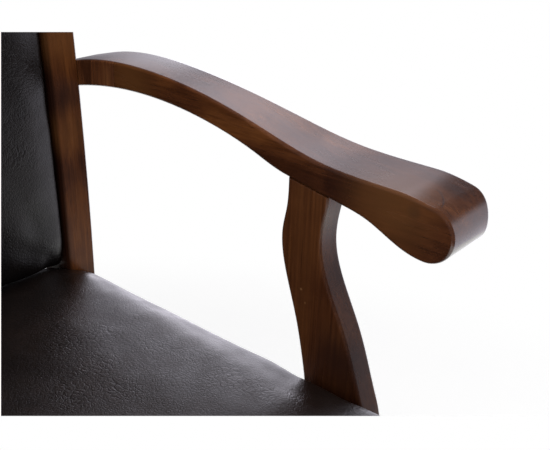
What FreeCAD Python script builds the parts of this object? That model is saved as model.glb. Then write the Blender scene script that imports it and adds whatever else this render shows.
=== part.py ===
import FreeCAD, Part
import math
import os

V = FreeCAD.Vector

# The chair faces -Y and the sitter's left is +X. While it is built, Y = 0 is the front face of the rear
# posts and Z = 0 the floor. Sizes are in millimetres and angles in degrees.

# Overall layout
seat_line = 445.0          # height where the seat's side edge meets the rear post
back_half_width = 230.0    # centre line to the outer face of a rear post
seat_depth = 440.0         # front face of the rear posts to the front face of the front legs
splay = 3.5                # how far each side opens towards the front
fit = 0.15                 # radial clearance of a dowel, screw or bolt in its hole
touch = 0.3                # clearance between soft, curved faces

# Rear posts
post_width = 32.0
post_depth = 44.0          # at the seat
post_depth_top = 36.0
post_top = 960.0
post_crown = 4.0           # rise of the rounded top end
back_radius = 3290.0       # side-view curve of the back, starting upright at the seat
rear_foot_rake = 58.0      # how far the foot stands behind the seat's post
rear_foot_depth = 32.0
post_edge = 1.5            # bevel of the long edges
foot_trim = 15.0           # spare length sawn off level at the foot

# Seat frame
rail_top = 398.0
rail_height = 62.0
rail_thickness = 22.0
rear_rail_setback = 12.0   # behind the posts' front face
front_rail_reveal = 4.0    # behind the front legs' front face
block_reach = 38.0         # how far a corner block runs along each rail
block_thickness = 28.0

# Front legs
leg_top = 42.0
leg_foot = 28.0

# Arms, in the side frame: distance forward from the post, height above the seat line
arm_tail = 38.0            # how far the arm laps along the post's outer face
arm_nose = (379.0, 166.2)  # centre of the rolled nose
arm_nose_radius = 22.2
arm_nose_start = 80.0      # degrees above the horizontal where the top runs into the roll
arm_nose_end = 93.0        # degrees below it where the roll runs into the underside
arm_top_line = [(-38.0, 213.5), (0.0, 223.3), (84.0, 229.9), (180.0, 218.7), (224.0, 208.0),
                (285.0, 194.6), (345.0, 192.2)]
arm_under_rear = [(-38.0, 189.5), (2.0, 198.5), (90.0, 206.6), (171.0, 197.8), (216.0, 185.8)]
arm_under_front = [(332.0, 159.6), (352.0, 150.6)]
arm_rest_line = [(250.0, 175.6), (306.0, 166.2)]
arm_plan_line = [(-38.0, 51.0), (45.0, 47.0), (120.0, 43.5), (200.0, 48.0), (282.0, 59.5),
                 (345.0, 63.0), (375.0, 62.5), (392.0, 58.5), (401.0, 52.0)]
arm_edge = 2.5
arm_block_length = 45.0    # in front of the post
arm_block_depth = 14.0

# Arm supports, in the same side frame
support_thickness = 24.0
support_rear_line = [(251.0, 150.0), (247.4, 129.0), (254.0, 87.0), (267.0, 46.0), (276.0, 6.0)]
support_front_line = [(289.0, 150.0), (287.2, 125.0), (299.6, 86.0), (318.2, 48.5), (335.5, 2.0)]
support_foot_line = (279.0, 346.0)
support_foot_rise = 6.0    # foot's lower end above the rail's lower edge
support_foot_top = -50.0   # height where the foot's edges run upright
support_edge = 2.5

# Seat
seat_gap = 1.0             # seat's side to the arm supports' inner face
seat_overhang = 8.0        # beyond the front legs
seat_corner_front = 36.0
seat_corner_rear = 14.0
post_notch_gap = 1.0
# Cushion side and crown: how far in from the edge, height above the rails
seat_profile = [(5.0, 0.0), (1.2, 8.0), (0.0, 24.0), (1.2, 42.0), (5.5, 54.0), (14.0, 61.0),
                (30.0, 65.5), (70.0, 70.5), (115.0, 74.3), (160.0, 76.6)]
leather = 1.6
seat_wrap = 24.0           # leather turned under the board
seat_board_thickness = 12.0
dust_cover_thickness = 1.0

# Back: depths are measured square to the back's curve, from the posts' front face
back_gap = 3.5             # cushion to post
back_swell = 6.0           # how far the cushion's crown stands in front of the posts
back_side_depth = 3.0      # depth where the cushion's rolled side begins
back_roll = 9.0            # radius of the cushion's rolled edge
back_board_depth = 12.0
back_board_thickness = 8.0
back_rail_thickness = 18.0
rear_panel_thickness = 4.0
rear_panel_bottom = 12.0   # above the seat line, as is the lower rail's
rear_panel_lap = 6.0       # over the crest rail's lower edge
lower_rail_bottom = 26.0
lower_rail_height = 36.0
crest_drop = 83.0          # posts' top down to the crest rail's lower edge
crest_tongue = 27.0
crest_height = 66.0
crest_arch = 12.0
crest_setback = 5.0
back_panel_gap = 1.0

# Fastenings
dowel_diameter = 10.0
dowel_length = 40.0
rail_dowel_spread = 20.0   # above and below the rail's middle, dowels along the sides
cross_dowel_spread = 7.0   # the same, dowels along the front and rear rails
back_dowel_spread = 9.0
support_dowel_diameter = 8.0
support_dowel_length = 28.0
support_dowels = (262.0, 280.0)
bolt_diameter = 6.0
bolt_head_diameter = 12.0
bolt_head_height = 4.0
bolt_reach = 15.0          # into the support
insert_diameter = 10.0
insert_length = 14.0
bolt_spread = 16.0         # above and below the middle of the foot
arm_screw_diameter = 5.0
arm_screw_head = 9.0
arm_screw_head_height = 4.0
arm_screw_bite = 22.0      # into the post
arm_screw_depths = (12.0, 30.0)
plug_diameter = 10.0
plug_length = 7.0
screw_diameter = 4.0
screw_head_diameter = 8.0
screw_head_height = 3.0
block_screw_length = 34.0
seat_screw_bite = 9.0      # into the seat board
back_screw_length = 20.0
back_screw_inset = 60.0
glide_diameter = 22.0
glide_height = 4.0
glide_pin_diameter = 5.0
glide_pin_length = 15.0

crest_bottom = post_top - crest_drop - seat_line
rail_bottom = rail_top - rail_height
rail_middle = rail_top - rail_height / 2.0
post_inner = back_half_width - post_width
slope = math.tan(math.radians(splay))


# Plain helpers

def side_x(y):
    """X of a seat side's outer face at the given Y."""
    return back_half_width - y * slope


def rail_inner_x(y):
    """X of a side rail's inner face at the given Y."""
    return side_x(y) - rail_thickness / math.cos(math.radians(splay))


def mirrored(shape):
    """The same piece on the sitter's right."""
    return shape.mirror(V(0, 0, 0), V(1, 0, 0))


def to_side(shape):
    """Carry a piece from the side frame to the chair's left side."""
    shape.rotate(V(0, 0, 0), V(0, 0, 1), splay)
    shape.translate(V(back_half_width, 0, seat_line))
    return shape


def side_point(x, forward, height):
    """A side-frame point in the chair's frame."""
    turn = math.radians(splay)
    return V(back_half_width + x * math.cos(turn) + forward * math.sin(turn),
             x * math.sin(turn) - forward * math.cos(turn), seat_line + height)


def side_direction(x, forward):
    """A side-frame direction in the chair's frame."""
    turn = math.radians(splay)
    return V(x * math.cos(turn) + forward * math.sin(turn), x * math.sin(turn) - forward * math.cos(turn), 0)


def rod(start, direction, diameter, length):
    """A plain round bar."""
    return Part.makeCylinder(diameter / 2.0, length, start, direction)


def hole(start, direction, diameter, length):
    """The room that a round bar needs."""
    return rod(start, direction, diameter + 2.0 * fit, length)


def prism(points, bottom, height):
    """An upright prism over a plan outline."""
    outline = [V(x, y, bottom) for x, y in points]
    return Part.Face(Part.makePolygon(outline + outline[:1])).extrude(V(0, 0, height))


def box(low, high):
    """A box between two corners."""
    return Part.makeBox(high[0] - low[0], high[1] - low[1], high[2] - low[2], V(*low))


def spline(points, first=None, last=None):
    """A smooth edge through the points, with tangents where they are given."""
    curve = Part.BSplineCurve()
    if first is None and last is None:
        curve.interpolate(points)
    else:
        start = first or (points[1] - points[0])
        end = last or (points[-1] - points[-2])
        curve.interpolate(Points=points, InitialTangent=start, FinalTangent=end)
    return curve.toShape()


def line(start, end):
    """A straight edge."""
    return Part.LineSegment(start, end).toShape()


def arc(start, middle, end):
    """A round edge through three points."""
    return Part.Arc(start, middle, end).toShape()


def solid_of(edges, sweep):
    """A solid swept from a flat closed outline."""
    return Part.Face(Part.Wire(Part.__sortEdges__(edges))).extrude(sweep)


def rounded(shape, radius, keep):
    """Round the edges that keep() picks."""
    return shape.makeFillet(radius, [edge for edge in shape.Edges if keep(edge)])


def chamfered(shape, size, keep):
    """Bevel the edges that keep() picks."""
    return shape.makeChamfer(size, [edge for edge in shape.Edges if keep(edge)])


def cut_all(shape, tools):
    """Cut every tool out of a piece."""
    for tool in tools:
        shape = shape.cut(tool)
    return shape


# Side-view curve of the back

def back_lean(height):
    """How far the posts' front face lies behind the seat's, at a height above the seat line."""
    return back_radius - math.sqrt(back_radius ** 2 - height ** 2)


def back_point(x, depth, height):
    """A point behind the posts' front face, square to the back's curve."""
    turn = math.asin(height / back_radius)
    centre_y = back_radius
    reach = back_radius - depth
    return V(x, centre_y - reach * math.cos(turn), seat_line + reach * math.sin(turn))


def back_normal(height):
    """Direction from the back's front to its rear, at a height."""
    turn = math.asin(height / back_radius)
    return V(0, math.cos(turn), -math.sin(turn))


def back_strip(half_width, front, rear, bottom, top):
    """A piece between two depths and two heights, curved with the back."""
    middle = (bottom + top) / 2.0
    corners = [back_point(-half_width, depth, height)
               for depth, height in ((front, bottom), (front, top), (rear, top), (rear, bottom))]
    edges = [arc(corners[0], back_point(-half_width, front, middle), corners[1]),
             line(corners[1], corners[2]),
             arc(corners[2], back_point(-half_width, rear, middle), corners[3]),
             line(corners[3], corners[0])]
    return solid_of(edges, V(2.0 * half_width, 0, 0))


# Wooden frame

def rear_post():
    """Left rear post and leg, sawn in one piece."""
    inner = post_inner
    top = post_top - seat_line - post_crown

    def front(z):
        if z >= seat_line:
            return back_lean(z - seat_line)
        drop = max(rail_bottom - z, 0.0) / (rail_bottom - glide_height)
        return rear_foot_rake * drop ** 2

    def depth(z):
        if z >= seat_line:
            return post_depth + (post_depth_top - post_depth) * (z - seat_line) / top
        drop = max(rail_bottom - z, 0.0) / (rail_bottom - glide_height)
        return post_depth + (rear_foot_depth - post_depth) * drop

    def at(z, share):
        return V(inner, front(z) + share * depth(z), z)

    shoulder = seat_line + top
    above = (seat_line + shoulder) / 2.0
    foot = glide_height - foot_trim
    below = (rail_bottom + foot) / 2.0
    crown = at(shoulder, 0.5) + V(0, 0, post_crown)
    edges = []
    for share in (0, 1):
        edges.append(arc(at(foot, share), at(below, share), at(rail_bottom, share)))
        edges.append(line(at(rail_bottom, share), at(seat_line, share)))
        edges.append(arc(at(seat_line, share), at(above, share), at(shoulder, share)))
    edges.append(arc(at(shoulder, 0), crown, at(shoulder, 1)))
    edges.append(line(at(foot, 0), at(foot, 1)))
    post = solid_of(edges, V(post_width, 0, 0))

    def long_upper_edge(edge):
        box_of = edge.BoundBox
        return box_of.ZLength > post_top - seat_line - 2.0 * post_crown and box_of.XLength < 0.01

    room = box((0, -seat_depth, glide_height), (2.0 * back_half_width, seat_depth, post_top))
    return chamfered(post, post_edge, long_upper_edge).common(room)


def front_leg():
    """Left front leg: square at the rails, tapered below on its two inner faces."""
    x = side_x(-seat_depth)
    y = -seat_depth

    def square(size, z):
        corners = [V(x - size, y, z), V(x, y, z), V(x, y + size, z), V(x - size, y + size, z)]
        return Part.makePolygon(corners + corners[:1])

    lower = Part.makeLoft([square(leg_foot, glide_height), square(leg_top, rail_bottom)], True, True)
    upper = box((x - leg_top, y, rail_bottom), (x, y + leg_top, rail_top))
    return lower.fuse(upper).removeSplitter()


def side_rail():
    """Left side rail."""
    front = -seat_depth + leg_top
    outline = [(side_x(0), 0), (side_x(front), front), (rail_inner_x(front), front), (rail_inner_x(0), 0)]
    return prism(outline, rail_bottom, rail_height)


def front_rail():
    """Rail between the front legs."""
    half = side_x(-seat_depth) - leg_top
    y = -seat_depth + front_rail_reveal
    return box((-half, y, rail_bottom), (half, y + rail_thickness, rail_top))


def rear_rail():
    """Rail between the rear posts."""
    return box((-post_inner, rear_rail_setback, rail_bottom),
               (post_inner, rear_rail_setback + rail_thickness, rail_top))


def front_corner_block():
    """Left front corner block, notched round the leg."""
    leg_inner = side_x(-seat_depth) - leg_top
    leg_rear = -seat_depth + leg_top
    rail_face = -seat_depth + front_rail_reveal + rail_thickness
    reach_y = leg_rear + block_reach
    outline = [(leg_inner, rail_face), (leg_inner - block_reach, rail_face), (rail_inner_x(reach_y), reach_y),
               (rail_inner_x(leg_rear), leg_rear), (leg_inner, leg_rear)]
    return prism(outline, rail_top - block_thickness, block_thickness)


def rear_corner_block():
    """Left rear corner block, notched round the post."""
    outline = [(post_inner, rear_rail_setback), (post_inner - block_reach, rear_rail_setback),
               (rail_inner_x(-block_reach), -block_reach), (rail_inner_x(0), 0), (post_inner, 0)]
    return prism(outline, rail_top - block_thickness, block_thickness)


def crest_rail():
    """Top rail of the back, with a tongue behind the back board."""
    rear = back_board_depth + back_board_thickness + back_rail_thickness
    head = back_strip(post_inner, crest_setback, rear, crest_bottom, crest_bottom + crest_height)
    tongue = back_strip(post_inner, rear - back_rail_thickness, rear, crest_bottom - crest_tongue, crest_bottom)
    rail = head.fuse(tongue).removeSplitter()
    # The arched top is cut by a cylinder lying along Y.
    half = post_inner
    radius = (half ** 2 + crest_arch ** 2) / (2.0 * crest_arch)
    crown = seat_line + crest_bottom + crest_height - 1.0
    under_arch = Part.makeCylinder(radius, 200.0, V(0, -50.0, crown - radius), V(0, 1, 0))
    return rail.common(under_arch)


def lower_back_rail():
    """Rail behind the lower edge of the back cushion."""
    front = back_board_depth + back_board_thickness
    return back_strip(post_inner, front, front + back_rail_thickness,
                      lower_rail_bottom, lower_rail_bottom + lower_rail_height)


# Arms and supports

def profile_point(pair, x=0.0):
    """A (forward, height) pair as a point of the side frame."""
    return V(x, -pair[0], pair[1])


def nose_point(degrees, x=0.0):
    """A point of the nose's roll, measured up from straight ahead."""
    turn = math.radians(degrees)
    return V(x, -arm_nose[0] - arm_nose_radius * math.cos(turn), arm_nose[1] + arm_nose_radius * math.sin(turn))


def nose_tangent(degrees):
    """Direction of the roll at that point, going down round the front."""
    turn = math.radians(degrees)
    return V(0, -math.sin(turn), -math.cos(turn))


def arm_profile():
    """Side view of the arm as a flat closed outline."""
    top = [profile_point(pair) for pair in arm_top_line]
    under_rear = [profile_point(pair) for pair in arm_under_rear]
    under_front = [profile_point(pair) for pair in arm_under_front]
    rest = [profile_point(pair) for pair in arm_rest_line]
    start = nose_point(arm_nose_start)
    end = nose_point(-arm_nose_end)
    rest_run = rest[1] - rest[0]
    tail_run = top[1] - top[0]
    return [spline(top + [start], tail_run, nose_tangent(arm_nose_start)),
            arc(start, nose_point(0.0), end),
            spline([end] + under_front[::-1] + [rest[1]], nose_tangent(-arm_nose_end), rest_run * -1.0),
            line(rest[1], rest[0]),
            spline([rest[0]] + under_rear[::-1], rest_run * -1.0, under_rear[0] - under_rear[1]),
            line(under_rear[0], top[0])]


def whole_arm():
    """The left arm with its block, in the side frame."""
    widest = max(width for _, width in arm_plan_line) + 10.0
    side_view = solid_of(arm_profile(), V(widest, 0, 0))
    reach = arm_nose[0] + arm_nose_radius + 5.0
    floor = 100.0
    outer = [V(width, -forward, floor) for forward, width in arm_plan_line]
    tail = V(0, arm_tail, floor)
    tip = V(outer[-1].x - 10.0, -reach, floor)
    plan = [line(tail, outer[0]), spline(outer + [tip], outer[1] - outer[0], V(-1, 0, 0)),
            line(tip, V(0, -reach, floor)), line(V(0, -reach, floor), tail)]
    arm = side_view.common(solid_of(plan, V(0, 0, 200.0)))

    def shaped_edge(edge):
        return edge.BoundBox.YMax < arm_tail - 0.5 or edge.BoundBox.YLength > 50.0

    return rounded(arm, arm_edge, shaped_edge)


def arm_pieces():
    """The left arm and its block, fitted to the post's outer face."""
    whole = to_side(whole_arm())
    post_room = box((0, 0, 0), (back_half_width, 2.0 * post_depth, 2.0 * post_top))
    whole = whole.cut(post_room)
    room = to_side(box((-10.0, -arm_block_length, 100.0), (arm_block_depth, arm_tail + 10.0, 300.0)))
    return whole.cut(room), whole.common(room)


def arm_support():
    """The left arm support, with its head cut to the arm's underside."""
    rear = [profile_point(pair) for pair in support_rear_line]
    front = [profile_point(pair) for pair in support_front_line]
    foot_rear, foot_front = support_foot_line
    bottom = rail_bottom + support_foot_rise - seat_line
    rest = [profile_point(pair) for pair in arm_rest_line]
    rest_slope = (rest[1].z - rest[0].z) / (rest[1].y - rest[0].y)

    def on_rest(forward):
        return V(0, -forward, rest[0].z + (-forward - rest[0].y) * rest_slope)

    head_rear = on_rest(arm_rest_line[0][0] + 2.0)
    head_front = on_rest(support_front_line[0][0] + 2.5)
    foot = [V(0, -foot_rear, support_foot_top), V(0, -foot_front, support_foot_top)]
    ends = [V(0, -foot_rear, bottom), V(0, -foot_front, bottom)]
    down = V(0, 0, -1)
    edges = [line(head_front, head_rear), spline([head_rear] + rear + [foot[0]], down, down),
             line(foot[0], ends[0]), line(ends[0], ends[1]), line(ends[1], foot[1]),
             spline([head_front] + front + [foot[1]], down, down)]
    support = solid_of(edges, V(support_thickness, 0, 0))

    def long_side(edge):
        return edge.BoundBox.ZLength > 60.0 and edge.BoundBox.XLength < 0.01

    return to_side(rounded(support, support_edge, long_side))


# Seat

def rounded_outline(corners, radii, z):
    """A closed wire of lines and corner arcs."""
    edges = []
    joins = []
    count = len(corners)
    for index in range(count):
        before = V(*corners[index - 1], z)
        here = V(*corners[index], z)
        after = V(*corners[(index + 1) % count], z)
        to_before = (before - here).normalize()
        to_after = (after - here).normalize()
        half = math.acos(max(-1.0, min(1.0, to_before.dot(to_after)))) / 2.0
        setback = radii[index] / math.tan(half)
        centre = here + (to_before + to_after).normalize() * (radii[index] / math.sin(half))
        start = here + to_before * setback
        end = here + to_after * setback
        middle = centre + (here - centre).normalize() * radii[index]
        joins.append((start, end))
        edges.append(arc(start, middle, end))
    ring = []
    for index in range(count):
        ring.append(edges[index])
        ring.append(line(joins[index][1], joins[(index + 1) % count][0]))
    return Part.Wire(ring)


def seat_ring(inset, height):
    """The seat's outline, drawn in by the inset, at a height above the rails."""
    rear = rear_rail_setback + rail_thickness - inset
    front = -seat_depth - seat_overhang + inset
    trim = (seat_gap + inset) / math.cos(math.radians(splay))
    rear_half = side_x(rear) - trim
    front_half = side_x(front) - trim
    corners = [(-front_half, front), (front_half, front), (rear_half, rear), (-rear_half, rear)]
    front_radius = seat_corner_front + inset * 0.15
    rear_radius = seat_corner_rear + inset * 0.15
    return rounded_outline(corners, [front_radius, front_radius, rear_radius, rear_radius], rail_top + height)


def post_rooms(gap):
    """Room for both rear posts in the seat."""
    room = box((post_inner - gap, -gap, rail_top - 20.0), (back_half_width + 40.0, 2.0 * post_depth, seat_line + 60.0))
    return [room, mirrored(room)]


def seat_body(shrink):
    """The seat's crowned form, or the room inside its leather."""
    rings = []
    for inset, height in seat_profile:
        rings.append(seat_ring(inset + shrink, max(height - shrink, shrink)))
    body = Part.makeLoft(rings, True, True)
    return cut_all(body, post_rooms(post_notch_gap + shrink))


def seat_underside(inset, thickness, bottom):
    """A flat layer under the seat, inside its outline."""
    face = Part.Face(seat_ring(inset, bottom))
    layer = face.extrude(V(0, 0, thickness))
    return cut_all(layer, post_rooms(post_notch_gap + inset))


def seat_pieces():
    """Leather cover, foam, board and dust cover."""
    outer = seat_body(0.0)
    inner = seat_body(leather)
    opening = seat_underside(seat_profile[0][0] + seat_wrap, leather + 1.0, -0.5)
    cover = outer.cut(inner).cut(opening)
    split = rail_top + leather + seat_board_thickness
    below = box((-400, -600, 0), (400, 100, split))
    board = inner.common(below)
    foam = inner.cut(below)
    dust = seat_underside(seat_profile[0][0] + seat_wrap + touch, dust_cover_thickness,
                          leather - dust_cover_thickness)
    return cover, foam, board, dust, outer


# Back

def back_section(height, narrow, swell, side_depth, rear):
    """One level plan section of the back cushion."""
    half = post_inner - back_gap - narrow
    roll = back_roll - narrow * 0.2
    z = seat_line + height
    lean = back_lean(height)

    def at(x, depth):
        return V(x, lean + depth, z)

    diagonal = roll * (1.0 - math.sqrt(0.5))
    left = at(-half, side_depth + roll)
    right = at(half, side_depth + roll)
    front_left = at(-half + roll, side_depth)
    front_right = at(half - roll, side_depth)
    edges = [line(at(half, rear), at(-half, rear)), line(at(-half, rear), left),
             arc(left, at(-half + diagonal, side_depth + diagonal), front_left),
             arc(front_left, at(0, side_depth - swell), front_right),
             arc(front_right, at(half - diagonal, side_depth + diagonal), right),
             line(right, at(half, rear))]
    return Part.Wire(edges)


def back_body(shrink, seat):
    """The back cushion's form, resting on the seat's crown."""
    top = crest_bottom
    rear = back_board_depth + back_board_thickness
    full = back_side_depth + back_swell
    # Share of the cushion's height, drawn in at the side, swell, depth of the side
    stations = [(0.0, 1.5, 1.0, 7.0), (0.02, 0.4, 0.5 * full, 4.0), (0.08, 0.0, 0.85 * full, back_side_depth),
                (0.3, 0.0, full, back_side_depth), (0.6, 0.0, full, back_side_depth),
                (0.9, 0.0, 0.9 * full, back_side_depth), (0.975, 0.4, 0.5 * full, 4.0), (1.0, 1.5, 1.0, 7.0)]
    bottom = 4.0
    sections = []
    for share, narrow, swell, side_depth in stations:
        height = bottom + share * (top - bottom)
        sections.append(back_section(height, narrow + shrink, swell, side_depth + shrink, rear + 8.0))
    body = Part.makeLoft(sections, True, True)
    lifted = seat.copy()
    lifted.translate(V(0, 0, touch + shrink))
    behind = back_strip(post_inner, rear, rear + 60.0, -30.0, crest_bottom + 40.0)
    above = back_strip(post_inner, -60.0, rear + 60.0, crest_bottom - touch - shrink, crest_bottom + 40.0)
    return body.cut(lifted).cut(behind).cut(above)


def back_pieces(seat):
    """Leather cover, foam, board and rear panel."""
    rear = back_board_depth + back_board_thickness
    outer = back_body(0.0, seat)
    inner = back_body(leather, seat)
    layer = back_strip(post_inner, back_board_depth, rear + 10.0, -30.0, crest_bottom + 10.0)
    panel_front = rear + back_rail_thickness
    panel = back_strip(post_inner - back_panel_gap, panel_front, panel_front + rear_panel_thickness,
                       rear_panel_bottom, crest_bottom + rear_panel_lap)
    return outer.cut(inner), inner.cut(layer), inner.common(layer), panel


# Fastenings: each function returns its solids and the holes that they need

def rail_dowels():
    """Dowels in the eight joints of the seat frame."""
    pins = []
    holes = []
    half = dowel_length / 2.0
    front = -seat_depth + leg_top
    along = side_direction(0, 1)
    middle_x = rail_thickness / 2.0 / math.cos(math.radians(splay))
    for joint_y in (0.0, front):
        centre = V(side_x(joint_y) - middle_x, joint_y, 0)
        for lift in (-rail_dowel_spread, rail_dowel_spread):
            start = centre - along * half + V(0, 0, rail_middle + lift)
            pins.append(rod(start, along, dowel_diameter, dowel_length))
            holes.append(hole(start - along * fit, along, dowel_diameter, dowel_length + 2.0 * fit))
    across = V(1, 0, 0)
    joints = [(post_inner, rear_rail_setback + rail_thickness / 2.0),
              (side_x(-seat_depth) - leg_top, -seat_depth + front_rail_reveal + rail_thickness / 2.0)]
    for joint_x, joint_y in joints:
        for lift in (-cross_dowel_spread, cross_dowel_spread):
            start = V(joint_x - half, joint_y, rail_middle + lift)
            pins.append(rod(start, across, dowel_diameter, dowel_length))
            holes.append(hole(start - across * fit, across, dowel_diameter, dowel_length + 2.0 * fit))
    return pins, holes


def back_dowels():
    """Dowels at the left ends of the crest rail and the lower back rail."""
    pins = []
    holes = []
    across = V(1, 0, 0)
    half = dowel_length / 2.0
    depth = back_board_depth + back_board_thickness + back_rail_thickness / 2.0
    levels = []
    for middle, spread in ((lower_rail_bottom + lower_rail_height / 2.0, back_dowel_spread),
                           (crest_bottom + crest_height / 3.0, 1.6 * back_dowel_spread)):
        levels.extend([middle - spread, middle + spread])
    for level in levels:
        start = back_point(post_inner - half, depth, level)
        pins.append(rod(start, across, dowel_diameter, dowel_length))
        holes.append(hole(start - across * fit, across, dowel_diameter, dowel_length + 2.0 * fit))
    return pins, holes


def support_joint_dowels():
    """Upright dowels from the left support's head into the arm."""
    pins = []
    holes = []
    up = V(0, 0, 1)
    near, far = arm_rest_line
    for forward in support_dowels:
        rest = near[1] + (far[1] - near[1]) * (forward - near[0]) / (far[0] - near[0])
        start = side_point(support_thickness / 2.0, forward, rest - support_dowel_length / 2.0)
        pins.append(rod(start, up, support_dowel_diameter, support_dowel_length))
        holes.append(hole(start - up * fit, up, support_dowel_diameter, support_dowel_length + 2.0 * fit))
    return pins, holes


def support_fastenings():
    """Bolts through the left side rail and the inserts that they screw into."""
    bolts = []
    inserts = []
    rail_holes = []
    support_holes = []
    out = side_direction(1, 0)
    middle = sum(support_foot_line) / 2.0
    foot_middle = rail_middle + support_foot_rise / 2.0 - seat_line
    for lift in (-bolt_spread, bolt_spread):
        head = side_point(-rail_thickness - bolt_head_height, middle, foot_middle + lift)
        seat = head + out * bolt_head_height
        shank = rod(seat, out, bolt_diameter, rail_thickness + bolt_reach)
        bolts.append(rod(head, out, bolt_head_diameter, bolt_head_height).fuse(shank))
        face = seat + out * rail_thickness
        sleeve = rod(face, out, insert_diameter, insert_length)
        inserts.append(sleeve.cut(hole(face - out, out, bolt_diameter, insert_length + 2.0)))
        rail_holes.append(hole(seat - out, out, bolt_diameter, rail_thickness + 2.0))
        support_holes.append(hole(face - out, out, insert_diameter, insert_length + 1.0 + fit))
        support_holes.append(hole(face, out, bolt_diameter, bolt_reach + fit))
    return bolts, inserts, rail_holes, support_holes


def arm_middle_height(y):
    """Height of the middle of the arm's tail at a Y beside the post."""
    (far_top, near_top) = (arm_top_line[0], arm_top_line[1])
    (far_under, near_under) = (arm_under_rear[0], arm_under_rear[1])
    share = y / arm_tail
    top = near_top[1] + (far_top[1] - near_top[1]) * share
    under = near_under[1] + (far_under[1] - near_under[1]) * share
    return (top + under) / 2.0


def arm_fastenings():
    """Screws through the left arm into the post, and the plugs that hide their heads."""
    screws = []
    plugs = []
    arm_holes = []
    post_holes = []
    out = V(1, 0, 0)
    widths = dict(arm_plan_line)
    face = back_half_width + widths[arm_plan_line[0][0]] - 3.0
    for depth in arm_screw_depths:
        z = seat_line + arm_middle_height(depth)
        tip = V(back_half_width - arm_screw_bite, depth, z)
        head = V(face - plug_length - arm_screw_head_height, depth, z)
        shank = rod(tip, out, arm_screw_diameter, head.x - tip.x)
        screws.append(shank.fuse(rod(head, out, arm_screw_head, arm_screw_head_height)))
        plugs.append(rod(V(face - plug_length, depth, z), out, plug_diameter, plug_length))
        arm_holes.append(hole(tip, out, arm_screw_diameter, head.x - tip.x + 1.0))
        arm_holes.append(hole(head, out, plug_diameter, 60.0))
        post_holes.append(hole(tip - out * fit, out, arm_screw_diameter, arm_screw_bite + 1.0))
    return screws, plugs, arm_holes, post_holes


def headed_screw(head, direction, length):
    """A wood screw whose head starts at the given point, and its hole."""
    shank = rod(head, direction, screw_diameter, length)
    cap = rod(head, direction, screw_head_diameter, screw_head_height)
    room = hole(head, direction, screw_diameter, length + fit)
    cap_room = hole(head - direction * 20.0, direction, screw_head_diameter, screw_head_height + 20.0)
    return shank.fuse(cap), room.fuse(cap_room)


def block_screws():
    """Two screws through each left corner block, one into each rail."""
    screws = []
    holes = []
    z = rail_top - block_thickness / 2.0
    leg_inner = side_x(-seat_depth) - leg_top
    leg_rear = -seat_depth + leg_top
    rail_face = -seat_depth + front_rail_reveal + rail_thickness
    inward = 0.62 * block_reach
    # Each pair is a point on a rail's inner face and the direction into that rail.
    entries = [(V(leg_inner - inward, rail_face, z), V(0, -1, 0)),
               (V(rail_inner_x(leg_rear + inward), leg_rear + inward, z), side_direction(1, 0)),
               (V(post_inner - inward, rear_rail_setback, z), V(0, 1, 0)),
               (V(rail_inner_x(-inward), -inward, z), side_direction(1, 0))]
    bite = rail_thickness - 6.0
    for face, direction in entries:
        screw, room = headed_screw(face - direction * (block_screw_length - bite), direction, block_screw_length)
        screws.append(screw)
        holes.append(room)
    return screws, holes


def seat_screws():
    """Screws up through the left corner blocks into the seat board."""
    screws = []
    holes = []
    leg_inner = side_x(-seat_depth) - leg_top
    leg_rear = -seat_depth + leg_top
    inward = 0.22 * block_reach
    length = block_thickness + leather + seat_screw_bite
    for x, y in ((leg_inner - inward, leg_rear + inward), (post_inner - inward, -inward)):
        screw, room = headed_screw(V(x, y, rail_top - block_thickness), V(0, 0, 1), length)
        screws.append(screw)
        holes.append(room)
    return screws, holes


def back_screws():
    """Screws through the back board into the lower rail and the crest rail's tongue, left half."""
    screws = []
    holes = []
    x = post_inner - back_screw_inset
    for level in (lower_rail_bottom + lower_rail_height / 2.0, crest_bottom - crest_tongue / 2.0):
        head = back_point(x, back_board_depth, level)
        screw, room = headed_screw(head, back_normal(level), back_screw_length)
        screws.append(screw)
        holes.append(room)
    return screws, holes


def glides():
    """Glides under the left front leg and the left rear post."""
    pads = []
    holes = []
    up = V(0, 0, 1)
    leg = V(side_x(-seat_depth) - leg_foot / 2.0, -seat_depth + leg_foot / 2.0, 0)
    post = V(back_half_width - post_width / 2.0, rear_foot_rake + rear_foot_depth / 2.0, 0)
    for foot in (leg, post):
        disc = rod(foot, up, glide_diameter, glide_height)
        pin_start = foot + up * glide_height
        pads.append(disc.fuse(rod(pin_start, up, glide_pin_diameter, glide_pin_length)))
        holes.append(hole(pin_start - up, up, glide_pin_diameter, glide_pin_length + 1.0 + fit))
    return pads, holes


def both(shapes):
    """The shapes and their mirror images."""
    return list(shapes) + [mirrored(shape) for shape in shapes]


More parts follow.
